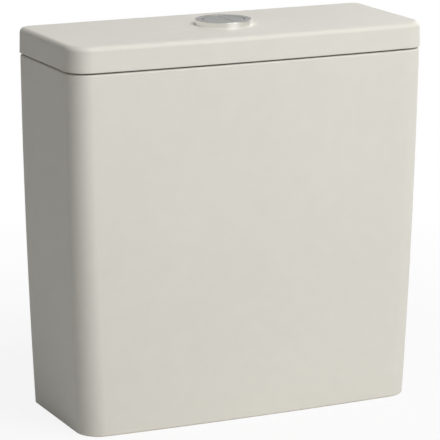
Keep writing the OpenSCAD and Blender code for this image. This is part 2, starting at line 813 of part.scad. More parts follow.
// Cage of columns on the flange
module flush_tower() {
    color(white_plastic) {
        ring(column_r + collar_t/2, column_r - collar_t/2, flange_top, collar_h);
        for (i = [0:columns - 1])
            rotate(column_angle(i))
                box([column_r - column_t/2, -column_w/2, flange_top + collar_h/2],
                    [column_r + column_t/2, column_w/2, head_z]);
        tube_guide(flange_top + guide_rise);
        tube_guide(yoke_z - 3*guide_h);
    }
}

// Ring on the columns with the ears of the two rockers
module tower_head() {
    color(white_plastic) difference() {
        union() {
            ring(head_out_r, head_in_r, head_z, head_ring_t);
            for (sx = [-1, 1], sy = [-1, 1])
                translate([sx*pivot_x, sy*(ear_y + ear_t/2), 0])
                    box([-ear_w/2, -ear_t/2, head_top - head_ring_t/2],
                        [ear_w/2, ear_t/2, pivot_z + ear_rise]);
        }
        for (sx = [-1, 1])
            cross_pin(rocker_pin_r + seat_gap, pin_len + 2*over, sx*pivot_x, pivot_z);
    }
}

// Hinge pins of the two rockers
module rocker_pins() {
    color(steel)
        for (sx = [-1, 1])
            cross_pin(rocker_pin_r, pin_len, sx*pivot_x, pivot_z);
}

// Rocker on the side of its rod, from its pad to its lifting tip
module rocker(side) {
    inner_end = rod_x - pad_reach;
    outer_end = hook_x + tip_reach;
    difference() {
        union() {
            mirror([side < 0 ? 1 : 0, 0, 0])
                box([inner_end, -rocker_w/2, pivot_z - rocker_t/2],
                    [outer_end, rocker_w/2, pivot_z + rocker_t/2]);
            cross_pin(rocker_boss_r, rocker_w, side*pivot_x, pivot_z);
        }
        cross_pin(rocker_pin_r + run_gap, rocker_w + 2*over, side*pivot_x, pivot_z);
    }
}

module full_rocker() { color(blue_plastic) rocker(-1); }
module half_rocker() { color(grey_plastic) rocker(1); }

// Valve stem and overflow in one tube, with the carrier of the seal
module overflow_tube() {
    color(white_plastic) rotate_extrude()
        polygon([
            [tube_in_r, retainer_z], [tube_r, retainer_z], [tube_r, seal_top], [carrier_r, seal_top],
            [carrier_r, seal_top + carrier_t], [tube_r, seal_top + carrier_t], [tube_r, tube_top],
            [tube_in_r, tube_top]]);
}

// Cross arm on the tube, with a slot for each link
module lift_yoke() {
    slot = [link_t + 2*slot_gap, link_w + 2*slot_gap];
    color(grey_plastic) difference() {
        union() {
            translate([0, 0, yoke_z]) cylinder(r = tube_r + yoke_collar_t, h = yoke_collar_h);
            box([-yoke_half, -yoke_arm_w/2, yoke_z], [yoke_half, yoke_arm_w/2, yoke_z + yoke_arm_t]);
        }
        translate([0, 0, yoke_z - over]) cylinder(r = tube_r + seat_gap, h = yoke_collar_h + 2*over);
        for (side = [-1, 1])
            translate([side*(link_x + link_t/2), 0, yoke_z + yoke_arm_t/2])
                cube([slot[0], slot[1], yoke_arm_t + 2*over], center = true);
    }
}

// Hooked link on the side of its rocker, with a foot under the yoke after some free play
module lift_link(side, play) {
    foot_top = yoke_z - play;
    mirror([side < 0 ? 1 : 0, 0, 0]) {
        box([link_x, -link_w/2, foot_top - foot_t], [link_x + link_t, link_w/2, hook_z + hook_t]);
        box([hook_x - hook_reach, -link_w/2, hook_z], [link_x + link_t, link_w/2, hook_z + hook_t]);
        cross_pin(hook_r, link_w, hook_x, hook_z);
        box([link_x - foot_reach, -link_w/2 - foot_reach, foot_top - foot_t],
            [link_x + link_t + foot_reach, link_w/2 + foot_reach, foot_top]);
    }
}

module full_link() { color(blue_plastic) lift_link(-1, 0); }
module half_link() { color(grey_plastic) lift_link(1, half_play); }

// Rubber disc that closes the seat
module flush_seal() {
    color(rubber) ring(seal_r, tube_r + seat_gap, seat_z, seal_t);
}

// Ring nut that holds the seal on the tube
module seal_retainer() {
    color(grey_plastic) ring(retainer_r, tube_r + seat_gap, retainer_z, retainer_h);
}

// Ring float of the half flush, on the columns
module half_float() {
    outer = half_float_in_r + half_float_t;
    bevel = half_float_bevel;
    top = half_float_z + half_float_h;
    color(blue_plastic) rotate_extrude()
        polygon([
            [half_float_in_r, half_float_z], [outer - bevel, half_float_z], [outer, half_float_z + bevel],
            [outer, top - bevel], [outer - bevel, top], [half_float_in_r, top]]);
}

// Clip ring on the columns that the half float rests on
module half_float_stop() {
    inner = column_corner_r + seat_gap;
    color(grey_plastic) ring(inner + stop_t, inner, stop_z, stop_h);
}

// Threaded tail, neck, flange and inner pipe of the fill valve
module fill_shank() {
    strainer_seat_r = strainer_r + seat_gap;
    strainer_top = inlet_end + strainer_len + seat_gap;
    color(white_plastic) translate([fill_x, 0, 0]) rotate_extrude()
        polygon([
            [strainer_seat_r, inlet_end], [inlet_r, inlet_end], [inlet_r, fill_nut_z], [neck_r, fill_nut_z],
            [neck_r, shank_flange_z], [shank_flange_r, shank_flange_z], [shank_flange_r, shank_flange_top],
            [pipe_r, shank_flange_top], [pipe_r, fill_head_z + socket_h], [water_r, fill_head_z + socket_h],
            [water_r, strainer_top], [strainer_seat_r, strainer_top]]);
}

// Rubber ring under the shank's flange
module fill_gasket() {
    color(rubber) translate([fill_x, 0, 0])
        ring(shank_flange_r, neck_r + slide_gap, floor_z, fill_gasket_t);
}

// Hexagon nut under the floor
module fill_back_nut() {
    color(white_plastic) translate([fill_x, 0, fill_nut_z])
        difference() {
            cylinder(r = fill_nut_r, h = fill_nut_h, $fn = 6);
            translate([0, 0, -over]) cylinder(r = neck_r + slide_gap, h = fill_nut_h + 2*over);
        }
}

// Strainer in the tail, closed at the top and slotted along its sides
module fill_strainer() {
    color(steel) translate([fill_x, 0, inlet_end]) difference() {
        cylinder(r = strainer_r, h = strainer_len);
        translate([0, 0, -over])
            cylinder(r = strainer_r - strainer_wall, h = strainer_len - strainer_wall + over);
        for (a = [0, 60, 120])
            rotate(a)
                box([-strainer_r - over, -strainer_slot/2, strainer_len/4],
                    [strainer_r + over, strainer_slot/2, 3*strainer_len/4]);
    }
}

// Outer tube of the riser, with outlet slots above the flange
module fill_riser() {
    slot_z = shank_flange_top + outlet_rise;
    color(white_plastic) translate([fill_x, 0, 0]) difference() {
        ring(riser_r, riser_r - riser_wall, shank_flange_top, fill_head_z - shank_flange_top);
        for (a = [45, 135])
            rotate(a)
                box([-riser_r - over, -outlet_w/2, slot_z], [riser_r + over, outlet_w/2, slot_z + outlet_h]);
    }
}

// Lock ring on the riser
module riser_lock() {
    color(blue_plastic) translate([fill_x, 0, 0])
        lug_nut(riser_r + lock_t, lock_t/2, riser_r + seat_gap, shank_flange_top + lock_rise, lock_h, 6);
}

// Valve head with the socket of the pipe, the chamber and the seat of the diaphragm
module fill_head() {
    socket_r = pipe_r + seat_gap;
    diaphragm_seat_r = diaphragm_r + seat_gap;
    color(white_plastic) translate([fill_x, 0, 0]) rotate_extrude()
        polygon([
            [socket_r, fill_head_z], [fill_head_r, fill_head_z], [fill_head_r, fill_head_top],
            [diaphragm_seat_r, fill_head_top], [diaphragm_seat_r, diaphragm_z], [chamber_r, diaphragm_z],
            [chamber_r, fill_head_z + socket_h], [socket_r, fill_head_z + socket_h]]);
}

// Rubber diaphragm
module fill_diaphragm() {
    color(rubber) translate([fill_x, 0, diaphragm_z]) cylinder(r = diaphragm_r, h = diaphragm_t);
}

// Screw cap with the ears of the lever
module fill_cap() {
    skirt_z = fill_head_top - fill_cap_skirt;
    color(blue_plastic) difference() {
        union() {
            translate([fill_x, 0, skirt_z]) cylinder(r = fill_cap_r, h = fill_cap_top - skirt_z);
            for (sy = [-1, 1])
                translate([lever_x, sy*(lever_ear_y + lever_ear_t/2), 0])
                    box([-lever_ear_w/2, -lever_ear_t/2, fill_cap_top - over],
                        [lever_ear_w/2, lever_ear_t/2, lever_z + lever_ear_rise]);
        }
        translate([fill_x, 0, skirt_z - over])
            cylinder(r = fill_head_r + slide_gap, h = fill_cap_skirt + over);
        translate([fill_x, 0, fill_head_top - over]) cylinder(r = relief_r, h = relief_h + over);
        translate([fill_x, 0, fill_head_top]) cylinder(r = valve_pin_r + slide_gap, h = fill_cap_t + over);
        cross_pin(lever_pin_r + seat_gap, lever_pin_len + 2*over, lever_x, lever_z);
    }
}

// Lever from the float link to the valve pin
module float_lever() {
    slot_low = link_rod_x - slot_out;
    slot_high = link_rod_x + slot_in;
    slot_w = 2*link_rod_r + 2*slot_gap;
    color(grey_plastic) difference() {
        union() {
            box([slot_low - lever_reach, -lever_w/2, lever_z - lever_t/2],
                [fill_x + valve_reach, lever_w/2, lever_z + lever_t/2]);
            cross_pin(lever_boss_r, lever_w, lever_x, lever_z);
        }
        cross_pin(lever_pin_r + run_gap, lever_w + 2*over, lever_x, lever_z);
        box([slot_low, -slot_w/2, lever_z - lever_t], [slot_high, slot_w/2, lever_z + lever_t]);
    }
}

// Hinge pin of the lever
module lever_pin() {
    color(steel) cross_pin(lever_pin_r, lever_pin_len, lever_x, lever_z);
}

// Rod on the float with a round stop under and over the lever
module float_link() {
    low = lever_z - lever_t/2 - stop_gap_low - link_stop_r;
    high = lever_z + lever_t/2 + stop_gap_high + link_stop_r;
    color(steel) translate([link_rod_x, 0, 0]) {
        translate([0, 0, float_top]) cylinder(r = link_rod_r, h = high - float_top);
        for (z = [low, high])
            translate([0, 0, z]) sphere(r = link_stop_r);
    }
}

// Float cup round the riser, open below, with a lug for the link
module fill_float() {
    lug_end = fill_x - link_rod_x + lug_reach;
    inner_wall = float_in_r + float_wall;
    outer_wall = float_r - float_wall;
    roof = float_top - float_wall;
    color(grey_plastic) translate([fill_x, 0, 0]) {
        rotate_extrude()
            polygon([
                [float_in_r, float_z], [inner_wall, float_z], [inner_wall, roof], [outer_wall, roof],
                [outer_wall, float_z], [float_r, float_z], [float_r, float_top], [float_in_r, float_top]]);
        box([-lug_end, -lug_w/2, float_top - lug_h], [float_wall/2 - float_r, lug_w/2, float_top]);
    }
}

// Pin under the lever that closes the diaphragm
module valve_pin() {
    low = fill_head_top + valve_pin_gap + valve_stroke;
    high = lever_z - lever_t/2 - valve_pin_gap;
    color(steel) translate([fill_x, 0, low + high]) mirror([0, 0, 1])
        round_ended_rod(valve_pin_r, low, high - low);
}

tank();
lid();
lid_pads();
button_bezel();
bezel_gasket();
button_sleeve();
sleeve_nut();
full_button();
full_rod();
full_spring();
half_button();
half_rod();
half_spring();
flush_base();
flush_gasket();
flush_back_nut();
coupling_washer();
flush_tower();
tower_head();
rocker_pins();
full_rocker();
half_rocker();
overflow_tube();
lift_yoke();
full_link();
half_link();
flush_seal();
seal_retainer();
half_float();
half_float_stop();
fill_shank();
fill_gasket();
fill_back_nut();
fill_strainer();
fill_riser();
riser_lock();
fill_head();
fill_diaphragm();
fill_cap();
float_lever();
lever_pin();
float_link();
fill_float();
valve_pin();
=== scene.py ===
"""Toilet cistern in glazed ceramic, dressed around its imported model.

The tank, the lid, the push button, the flush valve and the fill valve are each a class that builds
and dresses its own pieces. Lengths are metres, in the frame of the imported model: +X is to the right
seen from the front, +Y towards the wall and +Z up.
"""

import json
import logging
import math
from collections.abc import Iterable, Sequence
from dataclasses import dataclass
from enum import Enum

import bmesh
import bpy
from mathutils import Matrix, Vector

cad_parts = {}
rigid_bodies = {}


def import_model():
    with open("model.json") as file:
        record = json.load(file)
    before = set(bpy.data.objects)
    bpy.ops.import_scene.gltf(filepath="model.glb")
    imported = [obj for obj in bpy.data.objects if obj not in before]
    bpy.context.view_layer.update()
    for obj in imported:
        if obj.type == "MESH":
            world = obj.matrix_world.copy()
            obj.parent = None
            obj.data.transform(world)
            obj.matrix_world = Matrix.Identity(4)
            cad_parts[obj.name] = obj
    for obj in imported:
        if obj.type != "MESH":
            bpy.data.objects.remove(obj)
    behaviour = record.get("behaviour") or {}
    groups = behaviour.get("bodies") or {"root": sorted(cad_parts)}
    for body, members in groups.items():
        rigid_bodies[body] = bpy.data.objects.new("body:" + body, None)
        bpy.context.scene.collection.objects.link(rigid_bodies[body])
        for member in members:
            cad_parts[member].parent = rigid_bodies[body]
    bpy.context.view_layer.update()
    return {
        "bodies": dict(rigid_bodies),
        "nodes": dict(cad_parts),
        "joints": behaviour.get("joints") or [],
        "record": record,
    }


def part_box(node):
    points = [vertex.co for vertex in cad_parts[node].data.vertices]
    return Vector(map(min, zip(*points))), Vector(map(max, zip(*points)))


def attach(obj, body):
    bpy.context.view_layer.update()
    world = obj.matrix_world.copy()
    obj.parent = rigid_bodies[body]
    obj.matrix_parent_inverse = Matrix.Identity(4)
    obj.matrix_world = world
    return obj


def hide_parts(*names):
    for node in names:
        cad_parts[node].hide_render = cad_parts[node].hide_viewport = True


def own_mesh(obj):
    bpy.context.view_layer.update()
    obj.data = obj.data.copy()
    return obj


LOG = logging.getLogger("cistern")

Point = tuple[float, float, float]
Pair = tuple[float, float]
Corner = tuple[float, float, float]
Colour = tuple[float, float, float, float]

# Points closer than this are one point
WELD = 1e-7
# Edges that turn by more than this stay crisp
CRISP_DEG = 35.0
# Gap that keeps a dressed ring off what it seats on
SEAT_GAP = 0.00003
# How far a cutting tool reaches past the faces that it cuts
CUT_PAST = 0.003
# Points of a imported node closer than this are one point
NODE_WELD = 1e-6
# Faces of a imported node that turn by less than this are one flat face
FLAT_DEG = 0.5
EDGE_SEGMENTS = 3
MM_IN_M = 1000.0
PURE_WHITE = (1.0, 1.0, 1.0, 1.0)


class Slot(Enum):
    """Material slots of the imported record."""

    GLAZE = "glaze"
    CHROME = "chrome"
    WHITE = "white_plastic"
    GREY = "grey_plastic"
    BLUE = "blue_plastic"
    RUBBER = "rubber"
    FOAM = "foam"
    STEEL = "steel"
    SILICONE = "silicone"


class Flush(Enum):
    """The two flushes, each with the side of the button that it sits on."""

    FULL = -1
    HALF = 1

    @property
    def word(self) -> str:
        """The flush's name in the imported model's nodes, bodies and joints."""
        return self.name.lower()


class Edge:
    """Radii of softened edges, from none to a full round."""

    NONE = 0.0
    TINY = 0.00015
    HAIR = 0.0002
    SLIGHT = 0.00025
    CRISP = 0.0003
    FINE = 0.0004
    LIGHT = 0.0005
    SMALL = 0.0006
    SOFT = 0.0008
    EASED = 0.001
    BROAD = 0.0015
    WIDE = 0.002
    ROUND = 0.003


class Wiring:
    """Places and joins the nodes of one shader tree."""

    def __init__(self, tree: bpy.types.NodeTree) -> None:
        """Starts on a tree that may already hold nodes."""
        self.tree = tree

    def add(self, kind: str, inputs: dict | None = None, **settings: object) -> bpy.types.Node:
        """Places a node.

        Args:
            kind: Blender's name of the node type.
            inputs: what each input socket, by name or place, is joined to or set to.
            settings: properties of the node.

        Returns:
            The new node.
        """
        node = self.tree.nodes.new(kind)
        for name, value in settings.items():
            setattr(node, name, value)
        self.feed(node, inputs or {})
        return node

    def feed(self, node: bpy.types.Node, inputs: dict) -> None:
        """Joins or sets the inputs of a node."""
        for name, value in inputs.items():
            socket = node.inputs[name]
            if isinstance(value, bpy.types.NodeSocket):
                self.tree.links.new(value, socket)
            else:
                socket.default_value = value

    def group(self, tree: bpy.types.NodeTree, inputs: dict) -> bpy.types.Node:
        """Places a shared effect with its own values."""
        node = self.tree.nodes.new("ShaderNodeGroup")
        node.node_tree = tree
        self.feed(node, inputs)
        return node

    def math(self, operation: str, first: object, second: object = 0.0) -> bpy.types.NodeSocket:
        """Places a sum on one or two values and gives its result."""
        return self.add("ShaderNodeMath", {0: first, 1: second}, operation=operation).outputs[0]

    def spread(self, value: bpy.types.NodeSocket, source: Pair, target: Pair) -> bpy.types.NodeSocket:
        """Maps a value from one range to another.

        Args:
            value: the value to map.
            source: the range that it has.
            target: the range that it gets, held at both ends.

        Returns:
            The mapped value.
        """
        inputs = {"Value": value, "From Min": source[0], "From Max": source[1]}
        inputs |= {"To Min": target[0], "To Max": target[1]}
        return self.add("ShaderNodeMapRange", inputs).outputs[0]

    def tint(self, share: object, first: object, second: object, way: str = "MIX") -> bpy.types.NodeSocket:
        """Mixes two colours.

        Args:
            share: how much of the second colour shows.
            first: the colour at a share of 0.
            second: the colour at a share of 1.
            way: Blender's name of the way that they mix.

        Returns:
            The mixed colour.
        """
        inputs = {0: share, 6: first, 7: second}
        return self.add("ShaderNodeMix", inputs, data_type="RGBA", blend_type=way).outputs[2]

    def bump(self, height: bpy.types.NodeSocket, depth: float, strength: float) -> bpy.types.NodeSocket:
        """Turns a height into a normal.

        Args:
            height: the height, from 0 to 1.
            depth: how deep a height of 1 is, in metres.
            strength: how much of it shows.

        Returns:
            The normal.
        """
        inputs = {"Height": height, "Distance": depth, "Strength": strength}
        return self.add("ShaderNodeBump", inputs).outputs[0]


class Effects:
    """Shader node groups that several finishes share, each made on its first use."""

    @staticmethod
    def _start(name: str, inputs: dict[str, str], output: str, kind: str) -> tuple | None:
        """Starts a group unless it is there.

        Args:
            name: the group's name.
            inputs: the socket type of each named input.
            output: the name of its output.
            kind: the socket type of its output.

        Returns:
            The wiring, the group's input node and its output node, or nothing if the group exists.
        """
        if name in bpy.data.node_groups:
            return None
        tree = bpy.data.node_groups.new(name, "ShaderNodeTree")
        for socket, socket_type in inputs.items():
            tree.interface.new_socket(name=socket, in_out="INPUT", socket_type=socket_type)
        tree.interface.new_socket(name=output, in_out="OUTPUT", socket_type=kind)
        wiring = Wiring(tree)
        return wiring, wiring.add("NodeGroupInput"), wiring.add("NodeGroupOutput")

    @staticmethod
    def tone_drift() -> bpy.types.NodeTree:
        """A colour that drifts lighter and darker over the surface."""
        name = "tone drift"
        inputs = {"Colour": "NodeSocketColor", "Scale": "NodeSocketFloat", "Amount": "NodeSocketFloat"}
        started = Effects._start(name, inputs, "Colour", "NodeSocketColor")
        if started:
            wiring, given, result = started
            place = wiring.add("ShaderNodeTexCoord").outputs["Object"]
            finer = wiring.math("MULTIPLY", given.outputs["Scale"], 6.3)
            broad = wiring.add(
                "ShaderNodeTexNoise", {"Vector": place, "Scale": given.outputs["Scale"], "Detail": 3.0}
            )
            fine = wiring.add("ShaderNodeTexNoise", {"Vector": place, "Scale": finer, "Detail": 4.0})
            both = wiring.math("ADD", broad.outputs[0], fine.outputs[0])
            centred = wiring.math("SUBTRACT", both, 1.0)
            swing = wiring.math("MULTIPLY", centred, given.outputs["Amount"])
            factor = wiring.math("ADD", swing, 1.0)
            mixed = wiring.tint(1.0, given.outputs["Colour"], factor, "MULTIPLY")
            wiring.feed(result, {"Colour": mixed})
        return bpy.data.node_groups[name]

    @staticmethod
    def grain() -> bpy.types.NodeTree:
        """An even grain of a given fineness, as a height."""
        name = "grain"
        inputs = {"Scale": "NodeSocketFloat", "Detail": "NodeSocketFloat"}
        started = Effects._start(name, inputs, "Height", "NodeSocketFloat")
        if started:
            wiring, given, result = started
            place = wiring.add("ShaderNodeTexCoord").outputs["Object"]
            noise = wiring.add(
                "ShaderNodeTexNoise",
                {"Vector": place, "Scale": given.outputs["Scale"], "Detail": given.outputs["Detail"]},
            )
            height = wiring.spread(noise.outputs[0], (0.25, 0.75), (0.0, 1.0))
            wiring.feed(result, {"Height": height})
        return bpy.data.node_groups[name]

    @staticmethod
    def specks() -> bpy.types.NodeTree:
        """Scattered round specks, as a mask."""
        name = "specks"
        inputs = {"Scale": "NodeSocketFloat", "Size": "NodeSocketFloat", "Share": "NodeSocketFloat"}
        started = Effects._start(name, inputs, "Mask", "NodeSocketFloat")
        if started:
            wiring, given, result = started
            place = wiring.add("ShaderNodeTexCoord").outputs["Object"]
            cells = wiring.add("ShaderNodeTexVoronoi", {"Vector": place, "Scale": given.outputs["Scale"]})
            chosen = wiring.add("ShaderNodeSeparateColor", {0: cells.outputs["Color"]})
            kept = wiring.math("LESS_THAN", chosen.outputs[0], given.outputs["Share"])
            near = wiring.math("DIVIDE", cells.outputs["Distance"], given.outputs["Size"])
            spot = wiring.spread(near, (0.6, 1.0), (1.0, 0.0))
            wiring.feed(result, {"Mask": wiring.math("MULTIPLY", spot, kept)})
        return bpy.data.node_groups[name]

    @staticmethod
    def edges() -> bpy.types.NodeTree:
        """Raised edges of the mesh, broken up a little, as a mask."""
        name = "raised edges"
        inputs = {"Start": "NodeSocketFloat", "Full": "NodeSocketFloat", "Scale": "NodeSocketFloat"}
        started = Effects._start(name, inputs, "Mask", "NodeSocketFloat")
        if started:
            wiring, given, result = started
            place = wiring.add("ShaderNodeTexCoord").outputs["Object"]
            noise = wiring.add("ShaderNodeTexNoise", {"Vector": place, "Scale": given.outputs["Scale"]})
            point = wiring.add("ShaderNodeNewGeometry").outputs["Pointiness"]
            limits = {"From Min": given.outputs["Start"], "From Max": given.outputs["Full"]}
            raised = wiring.add("ShaderNodeMapRange", {"Value": point, **limits}).outputs[0]
            broken = wiring.spread(noise.outputs[0], (0.3, 0.7), (0.4, 1.0))
            wiring.feed(result, {"Mask": wiring.math("MULTIPLY", raised, broken)})
        return bpy.data.node_groups[name]

    @staticmethod
    def drawn_lines() -> bpy.types.NodeTree:
        """Fine lines along one direction, as a height."""
        name = "drawn lines"
        inputs = {"Scale": "NodeSocketFloat", "Stretch": "NodeSocketVector"}
        started = Effects._start(name, inputs, "Height", "NodeSocketFloat")
        if started:
            wiring, given, result = started
            place = wiring.add("ShaderNodeTexCoord").outputs["Object"]
            drawn = wiring.add(
                "ShaderNodeVectorMath", {0: place, 1: given.outputs["Stretch"]}, operation="MULTIPLY"
            )
            lines = wiring.add(
                "ShaderNodeTexNoise",
                {"Vector": drawn.outputs[0], "Scale": given.outputs["Scale"], "Detail": 3.0},
            )
            wiring.feed(result, {"Height": lines.outputs[0]})
        return bpy.data.node_groups[name]


@dataclass(frozen=True)
class Finish:
    """A surface that pieces wear, with the record's slot that it belongs to."""

    name: str
    slot: Slot
    colour: Colour
    roughness: float

    def material(self) -> bpy.types.Material:
        """The finish's material, made on its first use."""
        if self.name not in bpy.data.materials:
            made = bpy.data.materials.new(self.name)
            made.use_nodes = True
            self.wire(Wiring(made.node_tree), made.node_tree.nodes["Principled BSDF"])
        return bpy.data.materials[self.name]

    def wire(self, wiring: Wiring, shader: bpy.types.Node) -> None:
        """Joins the finish's nodes to the shader."""
        raise NotImplementedError

    def drifting(self, wiring: Wiring, scale: float, amount: float) -> bpy.types.NodeSocket:
        """The finish's colour, drifting over the surface."""
        values = {"Colour": self.colour, "Scale": scale, "Amount": amount}
        return wiring.group(Effects.tone_drift(), values).outputs[0]

    def uneven(self, wiring: Wiring, scale: float, swing: float) -> bpy.types.NodeSocket:
        """The finish's roughness, uneven by a swing to each side."""
        height = wiring.group(Effects.grain(), {"Scale": scale, "Detail": 3.0}).outputs[0]
        return wiring.spread(height, (0.0, 1.0), (self.roughness - swing, self.roughness + swing))

    def grained(self, wiring: Wiring, scale: float, depth: float, strength: float) -> bpy.types.NodeSocket:
        """A normal with an even grain.

        Args:
            wiring: the material's wiring.
            scale: grains in a metre.
            depth: depth of the grain.
            strength: how much of it shows.

        Returns:
            The normal.
        """
        height = wiring.group(Effects.grain(), {"Scale": scale, "Detail": 4.0}).outputs[0]
        return wiring.bump(height, depth, strength)


@dataclass(frozen=True)
class GlazeFinish(Finish):
    """Satin glaze over fired clay: a slight pooling of tone, a painted highlight on raised edges, with a fine
    orange peel.
    """

    speck: Colour = (0.42, 0.40, 0.35, 1.0)
    # Lighter colour painted on raised edges: a painted highlight
    thin: Colour = (0.80, 0.78, 0.72, 1.0)

    def wire(self, wiring: Wiring, shader: bpy.types.Node) -> None:
        """Joins the glaze's tone, specks, painted edge highlight, gloss and peel to the shader."""
        body = self.drifting(wiring, scale=9.0, amount=0.05)
        specks = wiring.group(Effects.specks(), {"Scale": 420.0, "Size": 0.16, "Share": 0.10})
        faint = wiring.math("MULTIPLY", specks.outputs[0], 0.22)
        specked = wiring.tint(faint, body, self.speck)
        # Raised edges are painted lighter: a painted highlight
        edge = wiring.group(Effects.edges(), {"Start": 0.52, "Full": 0.62, "Scale": 60.0})
        thin = wiring.math("MULTIPLY", edge.outputs[0], 0.25)
        inputs = {"Base Color": wiring.tint(thin, specked, self.thin)}
        inputs["Roughness"] = self.uneven(wiring, scale=35.0, swing=0.03)
        inputs["Normal"] = self.grained(wiring, scale=190.0, depth=0.0004, strength=0.05)
        inputs["Specular IOR Level"] = 0.15
        wiring.feed(shader, inputs)


@dataclass(frozen=True)
class BisqueFinish(Finish):
    """Bare fired clay where the ware stood in the kiln."""

    pore: Colour = (0.33, 0.28, 0.22, 1.0)

    def wire(self, wiring: Wiring, shader: bpy.types.Node) -> None:
        """Joins the clay's tone, pores and grit to the shader."""
        body = self.drifting(wiring, scale=30.0, amount=0.16)
        pores = wiring.group(Effects.specks(), {"Scale": 900.0, "Size": 0.3, "Share": 0.3})
        faint = wiring.math("MULTIPLY", pores.outputs[0], 0.35)
        inputs = {"Base Color": wiring.tint(faint, body, self.pore)}
        inputs["Roughness"] = self.uneven(wiring, scale=120.0, swing=0.05)
        inputs["Normal"] = self.grained(wiring, scale=1500.0, depth=0.0003, strength=0.5)
        wiring.feed(shader, inputs)


@dataclass(frozen=True)
class PlateFinish(Finish):
    """Chrome plate on a moulding: even grey metal with a very fine blast."""

    blast: float = 0.25
    swing: float = 0.05
    rim: float = 1.0
    # Brighter metal colour painted on raised edges: a painted highlight
    worn: Colour = (0.72, 0.72, 0.72, 1.0)

    def wire(self, wiring: Wiring, shader: bpy.types.Node) -> None:
        """Joins the plate's tone, blast and painted edge highlight to the shader."""
        body = self.drifting(wiring, scale=60.0, amount=0.10)
        # Raised edges are painted brighter: a painted highlight
        edge = wiring.group(Effects.edges(), {"Start": 0.52, "Full": 0.64, "Scale": 300.0})
        bright = wiring.math("MULTIPLY", edge.outputs[0], 0.35)
        inputs = {"Base Color": wiring.tint(bright, body, self.worn)}
        inputs["Roughness"] = self.uneven(wiring, scale=500.0, swing=self.swing)
        inputs["Normal"] = self.grained(wiring, scale=5200.0, depth=0.00006, strength=self.blast)
        inputs["Metallic"] = 1.0
        inputs["Specular Tint"] = (self.rim, self.rim, self.rim, 1.0)
        wiring.feed(shader, inputs)


@dataclass(frozen=True)
class MouldedFinish(Finish):
    """Moulded plastic: a spark-eroded grain, slight flow marks and a painted highlight on raised edges."""

    flow: float = 0.06

    def wire(self, wiring: Wiring, shader: bpy.types.Node) -> None:
        """Joins the plastic's tone, grain and painted edge highlight to the shader."""
        body = self.drifting(wiring, scale=26.0, amount=self.flow)
        # Raised edges are painted lighter: a painted highlight
        edge = wiring.group(Effects.edges(), {"Start": 0.53, "Full": 0.66, "Scale": 240.0})
        pale = wiring.math("MULTIPLY", edge.outputs[0], 0.18)
        lighter = tuple(min(1.0, part * 1.35 + 0.03) for part in self.colour[:3]) + (1.0,)
        inputs = {"Base Color": wiring.tint(pale, body, lighter)}
        inputs["Roughness"] = self.uneven(wiring, scale=140.0, swing=0.06)
        inputs["Normal"] = self.grained(wiring, scale=2600.0, depth=0.00008, strength=0.35)
        inputs["IOR"] = 1.49
        wiring.feed(shader, inputs)


@dataclass(frozen=True)
class RubberFinish(Finish):
    """Moulded rubber with a dusting of talc."""

    talc: Colour = (0.25, 0.25, 0.24, 1.0)

    def wire(self, wiring: Wiring, shader: bpy.types.Node) -> None:
        """Joins the rubber's tone, talc and grain to the shader."""
        body = self.drifting(wiring, scale=45.0, amount=0.25)
        dust = wiring.group(Effects.grain(), {"Scale": 85.0, "Detail": 6.0})
        dusted = wiring.spread(dust.outputs[0], (0.5, 1.0), (0.0, 0.18))
        inputs = {"Base Color": wiring.tint(dusted, body, self.talc)}
        inputs["Roughness"] = self.uneven(wiring, scale=200.0, swing=0.07)
        inputs["Normal"] = self.grained(wiring, scale=1800.0, depth=0.0001, strength=0.4)
        wiring.feed(shader, inputs)


@dataclass(frozen=True)
class FoamFinish(Finish):
    """Closed-cell foam with a cut, cellular skin."""

    # Colour of the painted shade in the foam's hollow cells
    pit: Colour = (0.012, 0.012, 0.013, 1.0)

    def wire(self, wiring: Wiring, shader: bpy.types.Node) -> None:
        """Joins the foam's tone, painted shade in its cells and their bump to the shader."""
        body = self.drifting(wiring, scale=50.0, amount=0.25)
        # The hollow cells are painted darker: painted shade
        cells = wiring.group(Effects.specks(), {"Scale": 1100.0, "Size": 0.55, "Share": 0.85})
        shaded_pits = wiring.math("MULTIPLY", cells.outputs[0], 0.55)
        inputs = {"Base Color": wiring.tint(shaded_pits, body, self.pit)}
        inputs["Roughness"] = self.uneven(wiring, scale=300.0, swing=0.04)
        skin = wiring.math("SUBTRACT", 1.0, cells.outputs[0])
        inputs["Normal"] = wiring.bump(skin, depth=0.0003, strength=0.6)
        wiring.feed(shader, inputs)


@dataclass(frozen=True)
class DrawnSteelFinish(Finish):
    """Stainless wire and pins, with the fine lines of drawing."""

    stretch: Point = (1.0, 0.03, 1.0)

    def wire(self, wiring: Wiring, shader: bpy.types.Node) -> None:
        """Joins the steel's tone and drawn lines to the shader."""
        lines = wiring.group(Effects.drawn_lines(), {"Scale": 4000.0, "Stretch": self.stretch})
        inputs = {"Base Color": self.drifting(wiring, scale=80.0, amount=0.12)}
        low, high = self.roughness - 0.08, self.roughness + 0.08
        inputs["Roughness"] = wiring.spread(lines.outputs[0], (0.3, 0.7), (low, high))
        inputs["Normal"] = wiring.bump(lines.outputs[0], depth=0.00004, strength=0.3)
        inputs["Metallic"] = 1.0
        wiring.feed(shader, inputs)


@dataclass(frozen=True)
class SiliconeFinish(Finish):
    """Translucent silicone pads."""

    def wire(self, wiring: Wiring, shader: bpy.types.Node) -> None:
        """Joins the silicone's tone and skin to the shader."""
        inputs = {"Base Color": self.drifting(wiring, scale=120.0, amount=0.10)}
        inputs["Roughness"] = self.uneven(wiring, scale=400.0, swing=0.06)
        inputs["Normal"] = self.grained(wiring, scale=1400.0, depth=0.0001, strength=0.3)
        inputs["Subsurface Weight"] = 0.3
        inputs["Subsurface Radius"] = (0.002, 0.002, 0.002)
        wiring.feed(shader, inputs)


